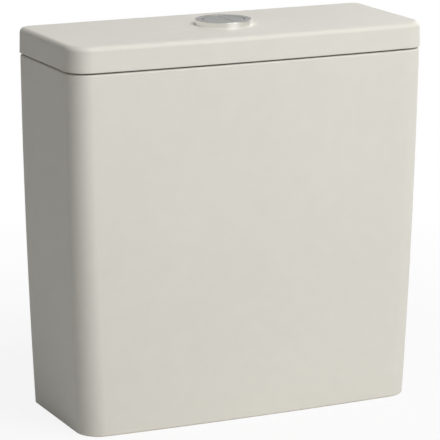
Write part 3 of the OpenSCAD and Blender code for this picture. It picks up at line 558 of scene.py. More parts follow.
GLAZE = GlazeFinish("satin glaze", Slot.GLAZE, (0.655, 0.634, 0.574, 1.0), 0.48)
BISQUE = BisqueFinish("bare clay", Slot.GLAZE, (0.56, 0.50, 0.41, 1.0), 0.85)
# Satin and polished are real finishes, but the satin chrome's dark tone and dulled rim and the polished
# chrome's light tone are painted reflection: dim surroundings on the satin top and caps, the lid on the
# polished side
SATIN = PlateFinish("satin chrome", Slot.CHROME, (0.37, 0.37, 0.355, 1.0), 0.3, rim=0.64)
POLISH = PlateFinish("polished chrome", Slot.CHROME, (0.88, 0.87, 0.85, 1.0), 0.06, 0.02, 0.02)
WHITE = MouldedFinish("white moulding", Slot.WHITE, (0.74, 0.74, 0.71, 1.0), 0.38)
GREY = MouldedFinish("grey moulding", Slot.GREY, (0.30, 0.325, 0.34, 1.0), 0.42)
BLUE = MouldedFinish("blue moulding", Slot.BLUE, (0.06, 0.16, 0.33, 1.0), 0.40)
RUBBER = RubberFinish("black rubber", Slot.RUBBER, (0.022, 0.022, 0.024, 1.0), 0.62)
FOAM = FoamFinish("black foam", Slot.FOAM, (0.045, 0.045, 0.048, 1.0), 0.88)
PIN_STEEL = DrawnSteelFinish("drawn pin steel", Slot.STEEL, (0.50, 0.50, 0.48, 1.0), 0.28)
WIRE_STEEL = DrawnSteelFinish("drawn wire steel", Slot.STEEL, PIN_STEEL.colour, 0.28, (1.0, 1.0, 0.05))
SILICONE = SiliconeFinish("clear silicone", Slot.SILICONE, (0.62, 0.62, 0.60, 1.0), 0.5)

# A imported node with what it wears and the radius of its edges
Dressed = tuple[str, Finish, float]


def arc(centre: Pair, radius: float, start_deg: float, end_deg: float, steps: int) -> list[Pair]:
    """Points along an arc.

    Args:
        centre: the arc's centre.
        radius: its radius.
        start_deg: the direction of its first point.
        end_deg: the direction of its last point.
        steps: the number of chords.

    Returns:
        One more point than there are chords.
    """
    points = []
    for step in range(steps + 1):
        angle = math.radians(start_deg + (end_deg - start_deg) * step / steps)
        points.append((centre[0] + radius * math.cos(angle), centre[1] + radius * math.sin(angle)))
    return points


def rounded(corners: Sequence[Corner], steps: int = 5) -> list[Pair]:
    """Rounds the corners of a closed outline.

    Args:
        corners: across, up and rounding radius of each corner, in order.
        steps: chords in each rounded corner.

    Returns:
        The outline's points.
    """
    outline: list[Pair] = []
    for place, (across, up, radius) in enumerate(corners):
        here = Vector((across, up))
        if radius <= 0:
            outline.append((across, up))
            continue
        before = (Vector(corners[place - 1][:2]) - here).normalized()
        after = (Vector(corners[(place + 1) % len(corners)][:2]) - here).normalized()
        half = before.angle(after) / 2
        centre = here + (before + after).normalized() * (radius / math.sin(half))
        first = here + before * (radius / math.tan(half)) - centre
        last = here + after * (radius / math.tan(half)) - centre
        start = math.degrees(math.atan2(first.y, first.x))
        turn = (math.degrees(math.atan2(last.y, last.x)) - start + 180) % 360 - 180
        outline.extend(arc((centre.x, centre.y), radius, start, start + turn, steps))
    return outline


def lerp(first: float, second: float, share: float) -> float:
    """The value at a share of the way from the first to the second."""
    return first + (second - first) * share


def ring_outline(low: Vector, high: Vector, inner: float, edge: float) -> list[Pair]:
    """Outline of a plain ring with soft edges.

    Args:
        low: the ring's lowest corner.
        high: the ring's highest corner.
        inner: its bore's radius.
        edge: radius of its edges.

    Returns:
        The outline's points.
    """
    outer = (high.y - low.y) / 2
    corners = [(inner, low.z, edge), (outer, low.z, edge), (outer, high.z, edge), (inner, high.z, edge)]
    return rounded(corners)


@dataclass(frozen=True)
class Thread:
    """A screw thread cut into the outside of a turned piece."""

    radius: float
    low: float
    high: float
    pitch: float = 0.0025
    depth: float = 0.0008
    rows: int = 8

    def refine(self, outline: Sequence[Pair]) -> list[Pair]:
        """Adds the thread's heights to the outline's run at its radius.

        Args:
            outline: the turned outline, with a straight run up past the thread.

        Returns:
            The outline with a point for each row of the thread.
        """
        count = round((self.high - self.low) / self.pitch * self.rows)
        heights = [self.low + (self.high - self.low) * row / count for row in range(count + 1)]
        refined: list[Pair] = []
        for place, (across, up) in enumerate(outline):
            refined.append((across, up))
            next_across, next_up = outline[(place + 1) % len(outline)]
            if max(abs(across - self.radius), abs(next_across - self.radius)) > WELD:
                continue
            low, high = sorted((up, next_up))
            between = [height for height in heights if low < height < high]
            if up > next_up:
                between.reverse()
            refined.extend((self.radius, height) for height in between)
        return refined

    def cut(self, across: float, up: float, turn: float) -> float:
        """Radius of a point once the thread is cut.

        Args:
            across: the radius before.
            up: the point's height.
            turn: the share of a turn that it is round the axis.

        Returns:
            The radius after.
        """
        if abs(across - self.radius) > WELD or not self.low < up < self.high:
            return across
        ease = min(1.0, (up - self.low) / self.pitch, (self.high - up) / self.pitch)
        groove = 0.5 - 0.5 * math.cos(2 * math.pi * (up / self.pitch - turn))
        return across - self.depth * ease * groove


class Skin:
    """Points and faces of one mesh while it is being built."""

    def __init__(self) -> None:
        """Starts with nothing."""
        self.points: list[Point] = []
        self.faces: list[tuple[int, ...]] = []
        self.coats: list[int] = []

    def ring(self, points: Iterable[Point]) -> list[int]:
        """Adds points and gives their places."""
        first = len(self.points)
        self.points.extend(points)
        return list(range(first, len(self.points)))

    def face(self, corners: Sequence[int], coat: int = 0) -> None:
        """Adds one face, with the number of the finish that it wears."""
        self.faces.append(tuple(corners))
        self.coats.append(coat)

    def bridge(self, first: Sequence[int], second: Sequence[int], coat: int = 0) -> None:
        """Joins two closed rings with the same number of points."""
        count = len(first)
        for here in range(count):
            there = (here + 1) % count
            self.face((first[here], first[there], second[there], second[here]), coat)

    def fan(self, ring: Sequence[int], centre: Point, coat: int = 0) -> None:
        """Closes a ring with triangles to a centre."""
        middle = self.ring([centre])[0]
        for place, here in enumerate(ring):
            self.face((here, ring[(place + 1) % len(ring)], middle), coat)

    def loft(self, rings: Sequence[Sequence[Point]], coats: Sequence[int] | None = None) -> list[list[int]]:
        """Joins a row of rings.

        Args:
            rings: the rings' points, in order.
            coats: the finish number of each band between two rings.

        Returns:
            The places of each ring's points.
        """
        placed = [self.ring(ring) for ring in rings]
        for band in range(len(placed) - 1):
            self.bridge(placed[band], placed[band + 1], coats[band] if coats else 0)
        return placed

    def turn(
        self,
        outline: Sequence[Pair],
        centre: Pair = (0.0, 0.0),
        steps: int = 96,
        thread: Thread | None = None,
        coats: Sequence[int] | None = None,
    ) -> "Skin":
        """Turns a closed outline of radius and height about an upright axis.

        Args:
            outline: radius and height of each point.
            centre: where the axis stands.
            steps: points round the axis.
            thread: a thread to cut, if any.
            coats: the finish number of each band, on an outline without a thread.

        Returns:
            This skin.
        """
        profile = thread.refine(outline) if thread else outline
        rings = []
        for across, up in profile:
            ring = []
            for step in range(steps):
                turn = step / steps
                radius = thread.cut(across, up, turn) if thread else across
                angle = 2 * math.pi * turn
                ring.append((centre[0] + radius * math.cos(angle), centre[1] + radius * math.sin(angle), up))
            rings.append(ring)
        placed = self.loft(rings, coats)
        self.bridge(placed[-1], placed[0], coats[-1] if coats else 0)
        return self

    def plug(
        self, radius: float, low: float, high: float, centre: Pair = (0.0, 0.0), steps: int = 96
    ) -> "Skin":
        """A plain upright cylinder, for cutting a hole.

        Args:
            radius: the hole's radius.
            low: the height that it starts at.
            high: the height that it ends at.
            centre: where its axis stands.
            steps: points round the axis.

        Returns:
            This skin.
        """
        return self.turn([(0.0, low), (radius, low), (radius, high), (0.0, high)], centre, steps)

    def tube(self, path: Sequence[Point], radius: float, sides: int = 12) -> "Skin":
        """Sweeps a round wire along a path that turns about an upright axis.

        Args:
            path: the wire's centre line.
            radius: the wire's radius.
            sides: points round the wire.

        Returns:
            This skin.
        """
        rings = []
        for place, here in enumerate(path):
            before = Vector(path[max(place - 1, 0)])
            after = Vector(path[min(place + 1, len(path) - 1)])
            along = (after - before).normalized()
            side = along.cross(Vector((0, 0, 1))).normalized()
            up = side.cross(along)
            ring = []
            for step in range(sides):
                angle = 2 * math.pi * step / sides
                away = side * radius * math.cos(angle) + up * radius * math.sin(angle)
                ring.append(tuple(Vector(here) + away))
            rings.append(ring)
        placed = self.loft(rings)
        self.face(placed[0])
        self.face(placed[-1])
        return self

    def mesh(self, name: str) -> bpy.types.Mesh:
        """The finished mesh, welded, with its faces turned outwards.

        Args:
            name: the mesh's name.

        Returns:
            The mesh.
        """
        made = bpy.data.meshes.new(name)
        made.from_pydata(self.points, [], self.faces)
        made.polygons.foreach_set("material_index", self.coats)
        work = bmesh.new()
        work.from_mesh(made)
        bmesh.ops.remove_doubles(work, verts=work.verts, dist=WELD)
        bmesh.ops.dissolve_degenerate(work, edges=work.edges, dist=WELD)
        bmesh.ops.recalc_face_normals(work, faces=work.faces)
        work.to_mesh(made)
        work.free()
        return made


class Maker:
    """Makes pieces, hangs them on the model's bodies and dresses the model's own nodes."""

    def __init__(self, frame: dict) -> None:
        """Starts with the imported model's nodes, joints and record."""
        self.nodes: dict[str, bpy.types.Object] = frame["nodes"]
        self.joints: dict[str, dict] = {joint["name"]: joint for joint in frame["joints"]}
        self.mounts: dict[str, dict] = {mount["name"]: mount for mount in frame["record"]["mounts"]}

    def travel(self, joint: str) -> float:
        """How far a sliding joint goes."""
        return self.joints[joint]["range_m"][1]

    def half_spacing(self, mount: str) -> float:
        """Half of the distance between a mount's two holes."""
        return self.mounts[mount]["dims"]["spacing_x_mm"] / 2 / MM_IN_M

    def _solid(self, name: str, skin: Skin) -> bpy.types.Object:
        """An object in the scene for a skin."""
        solid = bpy.data.objects.new(name, skin.mesh(name))
        bpy.context.scene.collection.objects.link(solid)
        return solid

    def _combine(self, solid: bpy.types.Object, others: Sequence[Skin], operation: str) -> None:
        """Cuts or adds other solids, and keeps the result as the mesh.

        Args:
            solid: the object to change.
            others: the solids to cut with or to add.
            operation: Blender's name of the operation.
        """
        tools = [self._solid(f"tool_{place}", skin) for place, skin in enumerate(others)]
        for tool in tools:
            step = solid.modifiers.new("combine", "BOOLEAN")
            step.operation = operation
            step.solver = "EXACT"
            step.object = tool
        bpy.context.view_layer.update()
        seen = solid.evaluated_get(bpy.context.evaluated_depsgraph_get())
        combined = bpy.data.meshes.new_from_object(seen)
        solid.modifiers.clear()
        solid.data = combined
        for tool in tools:
            bpy.data.objects.remove(tool)

    def piece(
        self,
        name: str,
        skin: Skin,
        body: str,
        finishes: Sequence[Finish],
        stands_for: Sequence[str] = (),
        cuts: Sequence[Skin] = (),
        adds: Sequence[Skin] = (),
    ) -> bpy.types.Object:
        """Makes a piece and hangs it on a body.

        Args:
            name: the piece's name.
            skin: its points and faces.
            body: the body that it moves with.
            finishes: what it wears.
            stands_for: the nodes that it replaces.
            cuts: solids to cut out of it.
            adds: solids to join to it.

        Returns:
            The piece.
        """
        made = self._solid(name, skin)
        for finish in finishes:
            made.data.materials.append(finish.material())
        if adds:
            self._combine(made, adds, "UNION")
        if cuts:
            self._combine(made, cuts, "DIFFERENCE")
        made.data.shade_smooth()
        made.data.set_sharp_from_angle(angle=math.radians(CRISP_DEG))
        self._even_normals(made)
        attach(made, body)
        if stands_for:
            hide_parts(*stands_for)
        LOG.info("piece %s on %s, %d faces", name, body, len(made.data.polygons))
        return made

    def dress(self, node: str, finish: Finish, edge: float) -> None:
        """Gives a node a finish and softens its edges.

        Args:
            node: the node's name.
            finish: what it wears.
            edge: width of the softened edges, or 0 for none.
        """
        shown = self.nodes[node]
        for slot in shown.material_slots:
            slot.material = finish.material()
        weld = shown.modifiers.new("weld", "WELD")
        weld.merge_threshold = NODE_WELD
        if edge > 0:
            flat = shown.modifiers.new("flat faces", "DECIMATE")
            flat.decimate_type = "DISSOLVE"
            flat.angle_limit = math.radians(FLAT_DEG)
            soft = shown.modifiers.new("soft edges", "BEVEL")
            soft.width = edge
            soft.segments = EDGE_SEGMENTS
            soft.limit_method = "ANGLE"
            soft.angle_limit = math.radians(CRISP_DEG)
        self._even_normals(shown)
        LOG.info("node %s in %s", node, finish.name)

    def dress_all(self, dressed: Iterable[Dressed]) -> None:
        """Dresses several nodes, in order."""
        for node, finish, edge in dressed:
            self.dress(node, finish, edge)

    def seal(self, name: str, node: str, body: str, inner: float, centre: Pair = (0.0, 0.0)) -> None:
        """Makes a rubber ring.

        Args:
            name: the ring's name.
            node: the node that it replaces.
            body: the body that it moves with.
            inner: its bore's radius.
            centre: where its axis stands.
        """
        low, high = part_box(node)
        skin = Skin().turn(ring_outline(low, high, inner, Edge.SMALL), centre)
        self.piece(name, skin, body, [RUBBER], [node])

    @staticmethod
    def _even_normals(shown: bpy.types.Object) -> None:
        """Lets large faces lead the shading."""
        even = shown.modifiers.new("even normals", "WEIGHTED_NORMAL")
        even.keep_sharp = True


@dataclass
class Plan:
    """Plan of the ware: a bowed front, straight sides and back, and round corners."""

    bow: float = 0.0042
    bow_fade: float = 0.03
    front_steps: int = 48
    side_steps: int = 12
    corner_steps: int = 14

    def ring(
        self, half: float, front: float, back: float, front_r: float, back_r: float, up: float
    ) -> list[Point]:
        """Points round the plan at a height.

        Args:
            half: half of its width.
            front: its front at the middle.
            back: its back.
            front_r: radius of the front corners.
            back_r: radius of the back corners.
            up: the height.

        Returns:
            The ring's points.
        """
        right: list[Pair] = []
        reach = half - front_r
        for step in range(self.front_steps // 2):
            right.append((reach * 2 * step / self.front_steps, front))
        right += arc((reach, front + front_r), front_r, -90, 0, self.corner_steps)
        side_low, side_high = front + front_r, back - back_r
        for step in range(1, self.side_steps):
            right.append((half, side_low + (side_high - side_low) * step / self.side_steps))
        right += arc((half - back_r, side_high), back_r, 0, 90, self.corner_steps)
        for step in range(1, self.front_steps // 2):
            right.append(((half - back_r) * (1 - 2 * step / self.front_steps), back))
        left = [(-across, along) for across, along in reversed(right[1:])]
        outline = right + [(0.0, back)] + left
        return [(across, along + self._set_back(across / half, along), up) for across, along in outline]

    def _set_back(self, share: float, along: float) -> float:
        """How far a point is set back by the bow, fading out towards the back."""
        fade = min(1.0, max(0.0, (self.bow_fade - along) / (2 * self.bow_fade)))
        return self.bow * share * share * fade


@dataclass
class CeramicTank:
    """Tank: skirt, raised floor, walls and rim, as one smooth shell with its fixing holes."""

    maker: Maker
    plan: Plan
    wall: float = 0.010
    floor_low: float = 0.048
    floor_top: float = 0.060
    overhang: float = 0.0008
    side_taper: float = 0.0018
    side_sweep: float = 0.0082
    front_lean: float = 0.0044
    front_r: float = 0.0205
    base_front_r: float = 0.023
    back_r: float = 0.013
    corner_min: float = 0.003
    rim_r: float = 0.002
    inner_rim_r: float = 0.003
    foot_r: float = 0.0012
    hollow_r: float = 0.008
    outlet_hole_r: float = 0.0308
    inlet_hole_r: float = 0.0115
    bolt_hole_r: float = 0.0055
    screw_hole_r: float = 0.0045
    hole_edge_r: float = 0.0012
    hole_steps: int = 48
    height_steps: int = 44

    def __post_init__(self) -> None:
        """Takes the height and plan from the model."""
        self.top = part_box("tank")[1].z
        self.lid_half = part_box("lid")[1].x
        self.lid_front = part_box("lid")[0].y
        self.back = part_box("lid")[1].y

    def ring(self, up: float, inset: float) -> list[Point]:
        """A ring of the tank at a height, inset from its outside."""
        down = (self.top - up) / self.top
        half = self.lid_half - self.overhang - self.side_taper * down - self.side_sweep * down * down - inset
        front = self.lid_front + self.overhang + self.front_lean * down + inset
        front_r = max(self.front_r + (self.base_front_r - self.front_r) * down - inset, self.corner_min)
        back_r = max(self.back_r - inset, self.corner_min)
        return self.plan.ring(half, front, self.back - inset, front_r, back_r, up)

    def _run(self, inset: float, start: float, end: float) -> list[Pair]:
        """Points along a straight stretch of wall, without its two ends."""
        return [(inset, lerp(start, end, step / self.height_steps)) for step in range(1, self.height_steps)]

    def section(self) -> list[tuple[float, float, int]]:
        """Inset, height and finish number of each ring, from under the floor, out and over to its top.

        Returns:
            The section through a wall. The finish is that of the band up to the next ring.
        """
        low_in = self.wall + self.hollow_r
        foot, inner = self.foot_r, self.inner_rim_r
        under = arc((low_in, self.floor_low - self.hollow_r), self.hollow_r, 90, 180, 6)
        bare = [(self.wall, foot)]
        bare += arc((self.wall - foot, foot), foot, 0, -90, 3)
        bare += arc((foot, foot), foot, -90, -180, 4)
        high, low = self.top - self.rim_r, self.floor_top + self.hollow_r
        over = self._run(0.0, foot, high)
        over += arc((self.rim_r, high), self.rim_r, 180, 90, 6)
        over += arc((self.wall - inner, self.top - inner), inner, 90, 0, 6)
        over += self._run(self.wall, self.top - inner, low)
        over += arc((low_in, low), self.hollow_r, 180, 270, 8)
        stretches = ((under, 0), (bare[:-1], 1), (bare[-1:] + over, 0))
        return [(inset, up, coat) for points, coat in stretches for inset, up in points]

    def hole(self, radius: float, low: float, high: float, centre: Pair) -> Skin:
        """A tool that cuts an upright hole with soft edges."""
        return Skin().turn(self._flared(radius, low, high), centre, self.hole_steps)

    def wall_hole(self, radius: float, across: float, up: float) -> Skin:
        """A tool that cuts a hole through the back wall with soft edges."""
        outline = self._flared(radius, self.back - self.wall, self.back)
        skin = Skin().turn(outline, steps=self.hole_steps)
        skin.points = [(across + x, z, up - y) for x, y, z in skin.points]
        return skin

    def _flared(self, radius: float, low: float, high: float) -> list[Pair]:
        """Outline of a hole's tool that flares out at both faces."""
        edge = self.hole_edge_r
        outer = radius + edge
        outline = [(0.0, low - CUT_PAST), (outer, low - CUT_PAST)]
        outline += arc((outer, low + edge), edge, 260, 180, 5)
        outline += arc((outer, high - edge), edge, 180, 100, 5)
        return outline + [(outer, high + CUT_PAST), (0.0, high + CUT_PAST)]

    def build(self) -> None:
        """Builds the shell, its holes and the pads on its rim."""
        rows = self.section()
        skin = Skin()
        placed = skin.loft([self.ring(up, inset) for inset, up, _ in rows], [coat for _, _, coat in rows])
        skin.face(placed[0])
        skin.face(placed[-1])
        mounts = self.maker.mounts
        low, high = self.floor_low, self.floor_top
        inlet = mounts["water_inlet"]["pos_m"]
        bolt = self.maker.half_spacing("coupling_bolts")
        screw = self.maker.half_spacing("wall_screws")
        screw_up = mounts["wall_screws"]["pos_m"][2]
        cuts = [self.hole(self.outlet_hole_r, low, high, (0.0, 0.0))]
        cuts.append(self.hole(self.inlet_hole_r, low, high, (inlet[0], inlet[1])))
        for side in (-1, 1):
            cuts.append(self.hole(self.bolt_hole_r, low, high, (side * bolt, 0.0)))
            cuts.append(self.wall_hole(self.screw_hole_r, side * screw, screw_up))
        self.maker.piece("tank_shell", skin, "tank", [GLAZE, BISQUE], ["tank"], cuts=cuts)
        self.maker.dress("lid_pads", SILICONE, Edge.CRISP)


@dataclass
class CeramicLid:
    """Lid: top plate with a soft edge, rim and locating lip, with the hole for the button."""

    maker: Maker
    plan: Plan
    front_r: float = 0.0213
    back_r: float = 0.013
    corner_min: float = 0.003
    draft: float = 0.0004
    edge_r: float = 0.0055
    lower_edge_r: float = 0.0008
    plate: float = 0.009
    lip_in: float = 0.0138
    lip_wall: float = 0.007
    lip_edge_r: float = 0.002
    hole_r: float = 0.0228
    height_steps: int = 6

    def __post_init__(self) -> None:
        """Takes the heights and plan from the model."""
        low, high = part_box("lid")
        self.lip_low, self.top = low.z, high.z
        self.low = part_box("lid_pads")[1].z
        self.half, self.front, self.back = high.x, low.y, high.y

    def ring(self, up: float, inset: float) -> list[Point]:
        """A ring of the lid at a height, inset from its lower edge."""
        front_r = max(self.front_r - inset, self.corner_min)
        back_r = max(self.back_r - inset, self.corner_min)
        return self.plan.ring(self.half - inset, self.front + inset, self.back - inset, front_r, back_r, up)

    def section(self) -> list[Pair]:
        """Inset and height of each ring, from under the top plate, out and over to its top."""
        hollow_in = self.lip_in + self.lip_wall
        ceiling = self.top - self.plate
        tip, fillet = self.lip_edge_r, self.corner_min
        rows = arc((hollow_in + fillet, ceiling - fillet), fillet, 90, 180, 5)
        rows += arc((hollow_in - tip, self.lip_low + tip), tip, 0, -90, 5)
        rows += arc((self.lip_in + tip, self.lip_low + tip), tip, 270, 180, 5)
        rows += arc((self.lip_in - tip, self.low - tip), tip, 0, 90, 5)
        edge = self.lower_edge_r
        rows += arc((edge, self.low + edge), edge, 270, 180, 5)
        foot = self.low + edge
        high = self.top - self.edge_r
        for step in range(1, self.height_steps):
            share = step / self.height_steps
            rows.append((self.draft * share, foot + (high - foot) * share))
        rows += arc((self.draft + self.edge_r, high), self.edge_r, 180, 90, 12)
        return rows

    def build(self) -> None:
        """Builds the lid with its hole."""
        skin = Skin()
        placed = skin.loft([self.ring(up, inset) for inset, up in self.section()])
        skin.face(placed[0])
        skin.face(placed[-1])
        hole = Skin().plug(self.hole_r, self.top - self.plate - CUT_PAST, self.top + CUT_PAST)
        self.maker.piece("lid_shell", skin, "lid", [GLAZE], ["lid"], cuts=[hole])


@dataclass
class PushButton:
    """Dual push button: bezel, sleeve, two caps, their rods and their springs."""

    maker: Maker
    bore: float = 0.021
    bezel_edge_r: float = 0.0005
    bezel_foot_r: float = 0.00005
    bezel_edge_steps: int = 7
    bezel_steps: int = 160
    bore_edge_r: float = 0.0002
    shelf: float = 0.003
    thread_start: float = 0.0015
    thread_pitch: float = 0.002
    thread_depth: float = 0.0007
    rod_hole_r: float = 0.0033
    rod_hole_past: float = 0.001
    rod_hole_steps: int = 48
    rod_mark_start: float = 0.008
    rod_mark_end: float = 0.004
    rod_mark_pitch: float = 0.004
    rod_mark_depth: float = 0.0004
    rod_steps: int = 40
    cap_height: float = 0.014
    cap_wall: float = 0.0015
    cap_plate: float = 0.002
    cap_corner_r: float = 0.0012
    cap_corner_min: float = 0.0002
    cap_foot: float = 0.0003
    cap_edge_r: float = 0.0003
    cap_slack: float = 0.0003
    cap_dish: float = 0.0003
    dish_shares: tuple[float, ...] = (0.92, 0.8, 0.65, 0.5, 0.35, 0.2, 0.1)
    split_steps: int = 12
    boss_r: float = 0.0045
    wire: float = 0.0009
    closed_pitch: float = 1.04
    coils: int = 7
    coil_steps: int = 40

    def __post_init__(self) -> None:
        """Takes the heights and radii from the model."""
        self.sleeve_low, self.sleeve_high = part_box("button_sleeve")
        self.gasket_low, self.gasket_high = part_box("bezel_gasket")

    def build(self) -> None:
        """Builds the fixed pieces and both flushes."""
        self.bezel()
        self.gasket()
        self.sleeve()
        self.maker.dress("sleeve_nut", WHITE, Edge.LIGHT)
        for flush in Flush:
            self.cap(flush)
            self.rod(flush)
            self.spring(flush)

    def bezel(self) -> None:
        """Chrome ring with a polished side and a satin top; the side's light tone and the top's dark tone are
        painted reflection.
        """
        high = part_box("button_bezel")[1]
        seat_r = self.sleeve_high.x + SEAT_GAP
        under = self.gasket_high.z
        rim_r = self.gasket_high.x + SEAT_GAP
        foot = self.gasket_low.z + SEAT_GAP
        corners = [
            (high.x, foot, self.bezel_foot_r),
            (high.x, high.z, self.bezel_edge_r),
            (self.bore, high.z, self.bore_edge_r),
            (self.bore, self.sleeve_high.z, 0.0),
            (seat_r, self.sleeve_high.z, 0.0),
            (seat_r, under, 0.0),
            (rim_r, under, 0.0),
            (rim_r, foot, 0.0),
        ]
        outline = rounded(corners, self.bezel_edge_steps)
        side_r, side_top = high.x - self.bezel_edge_r, high.z - self.bezel_edge_r - WELD
        # The side wears the lighter chrome and the top the darker one: painted reflection
        coats = [int(across > side_r and up < side_top) for across, up in outline]
        skin = Skin().turn(outline, steps=self.bezel_steps, coats=coats)
        self.maker.piece("bezel_ring", skin, "lid", [SATIN, POLISH], ["button_bezel"])

    def gasket(self) -> None:
        """Foam ring under the bezel."""
        inner = self.sleeve_high.x + SEAT_GAP
        skin = Skin().turn(ring_outline(self.gasket_low, self.gasket_high, inner, Edge.TINY))
        foam = self.maker.piece("bezel_foam", skin, "lid", [FOAM], ["bezel_gasket"])

    def sleeve(self) -> None:
        """Threaded sleeve with the shelf that guides the rods."""
        low, high = self.sleeve_low, self.sleeve_high
        shelf_top = low.z + self.shelf
        outline = rounded(
            [
                (0.0, low.z, 0.0),
                (high.x, low.z, Edge.SMALL),
                (high.x, high.z, 0.0),
                (self.bore, high.z, 0.0),
                (self.bore, shelf_top, 0.0),
                (0.0, shelf_top, 0.0),
            ]
        )
        plate_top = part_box("sleeve_nut")[1].z
        thread = Thread(high.x, low.z + self.thread_start, plate_top, self.thread_pitch, self.thread_depth)
        hole_low, hole_high = low.z - self.rod_hole_past, shelf_top + self.rod_hole_past
        cuts = []
        for flush in Flush:
            centre = (self.rod_x(flush), 0.0)
            cuts.append(Skin().plug(self.rod_hole_r, hole_low, hole_high, centre, self.rod_hole_steps))
        skin = Skin().turn(outline, thread=thread)
        self.maker.piece("threaded_sleeve", skin, "lid", [WHITE], ["button_sleeve"], cuts=cuts)

    def rod_x(self, flush: Flush) -> float:
        """Where a flush's rod stands."""
        low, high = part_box(f"{flush.word}_rod")
        return (low.x + high.x) / 2

    def cap_ring(self, flush: Flush, inset: float, up: float) -> list[Point]:
        """Points round a cap's plan: an arc, a straight edge along the split and two soft corners.

        Args:
            flush: which cap.
            inset: how far inside its edge.
            up: the height.

        Returns:
            The ring's points.
        """
        low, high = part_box(f"{flush.word}_button")
        side = flush.value
        reach = (high.x if side > 0 else -low.x) - inset - self.cap_slack
        split = (low.x if side > 0 else -high.x) + inset
        corner = max(self.cap_corner_r - inset, self.cap_corner_min)
        across = split + corner
        along = math.sqrt((reach - corner) ** 2 - across**2)
        turn = math.degrees(math.atan2(along, across))
        outline = arc((0.0, 0.0), reach, -turn, turn, 48)
        outline += arc((across, along), corner, turn, 180, 8)[1:]
        outline += [(split, along * (1 - 2 * step / self.split_steps)) for step in range(1, self.split_steps)]
        outline += arc((across, -along), corner, 180, 360 - turn, 8)[:-1]
        return [(side * x, y, up) for x, y in outline]

    def cap(self, flush: Flush) -> None:
        """Hollow cap with a soft edge and a dished top, on a boss for its rod."""
        box_low, box_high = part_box(f"{flush.word}_button")
        top = box_high.z
        low, ceiling = top - self.cap_height, top - self.cap_plate
        rows = [(self.cap_wall, ceiling), (self.cap_wall, low)]
        rows += [(self.cap_foot, low), (0.0, low + self.cap_foot)]
        rows += arc((self.cap_edge_r, top - self.cap_edge_r), self.cap_edge_r, 180, 90, 6)
        skin = Skin()
        rings = [self.cap_ring(flush, inset, up) for inset, up in rows]
        centre = (self.rod_x(flush), 0.0)
        rim = rings[-1]
        for share in self.dish_shares:
            sunk = top - self.cap_dish * (1 - share * share)
            rings.append([(lerp(centre[0], x, share), lerp(centre[1], y, share), sunk) for x, y, _ in rim])
        placed = skin.loft(rings)
        skin.fan(placed[0], (*centre, ceiling))
        skin.fan(placed[-1], (*centre, top - self.cap_dish))
        boss_low, boss_top = box_low.z, ceiling + self.cap_plate / 4
        boss = [(0.0, boss_low, 0.0), (self.boss_r, boss_low, Edge.FINE), (self.boss_r, boss_top, 0.0)]
        adds = [Skin().turn(rounded(boss) + [(0.0, boss_top)], centre, self.rod_steps)]
        name = f"{flush.word}_button"
        self.maker.piece(f"{flush.word}_cap", skin, name, [SATIN], [name], adds=adds)

    def rod(self, flush: Flush) -> None:
        """Push rod with a round tip and a row of ring marks."""
        low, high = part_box(f"{flush.word}_rod")
        radius = (high.y - low.y) / 2
        outline = arc((0.0, low.z + radius), radius, -90, 0, 8)
        mark, depth = low.z + self.rod_mark_start, self.rod_mark_depth
        while mark < high.z - self.rod_mark_end:
            outline += [(radius, mark - depth), (radius - depth, mark), (radius - depth, mark + depth)]
            outline.append((radius, mark + 2 * depth))
            mark += self.rod_mark_pitch
        outline += [(radius, high.z), (0.0, high.z)]
        skin = Skin().turn(outline, (self.rod_x(flush), 0.0), self.rod_steps)
        body = f"{flush.word}_button"
        self.maker.piece(f"{flush.word}_push_rod", skin, body, [GREY], [f"{flush.word}_rod"])

    def spring(self, flush: Flush) -> None:
        """Return spring with a closed coil at each end."""
        node = f"{flush.word}_spring"
        low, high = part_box(node)
        centre = self.rod_x(flush)
        radius = (high.y - low.y) / 2 - self.wire / 2
        first, last = low.z + self.wire / 2, high.z - self.wire / 2
        closed = self.wire * self.closed_pitch
        active = (last - first - 2 * closed) / (self.coils - 2)
        path = []
        for step in range(self.coils * self.coil_steps + 1):
            turn = step / self.coil_steps
            up = first + closed * min(turn, 1.0) + active * min(max(turn - 1.0, 0.0), self.coils - 2)
            up += closed * max(turn - self.coils + 1.0, 0.0)
            angle = 2 * math.pi * turn
            path.append((centre + radius * math.cos(angle), radius * math.sin(angle), up))
        skin = Skin().tube(path, self.wire / 2)
        made = self.maker.piece(f"{flush.word}_coil", skin, "lid", [WIRE_STEEL], [node])
        joint = f"{flush.word}_press"
        length = high.z - low.z
        keep = (length - self.maker.travel(joint)) / length
        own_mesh(made)


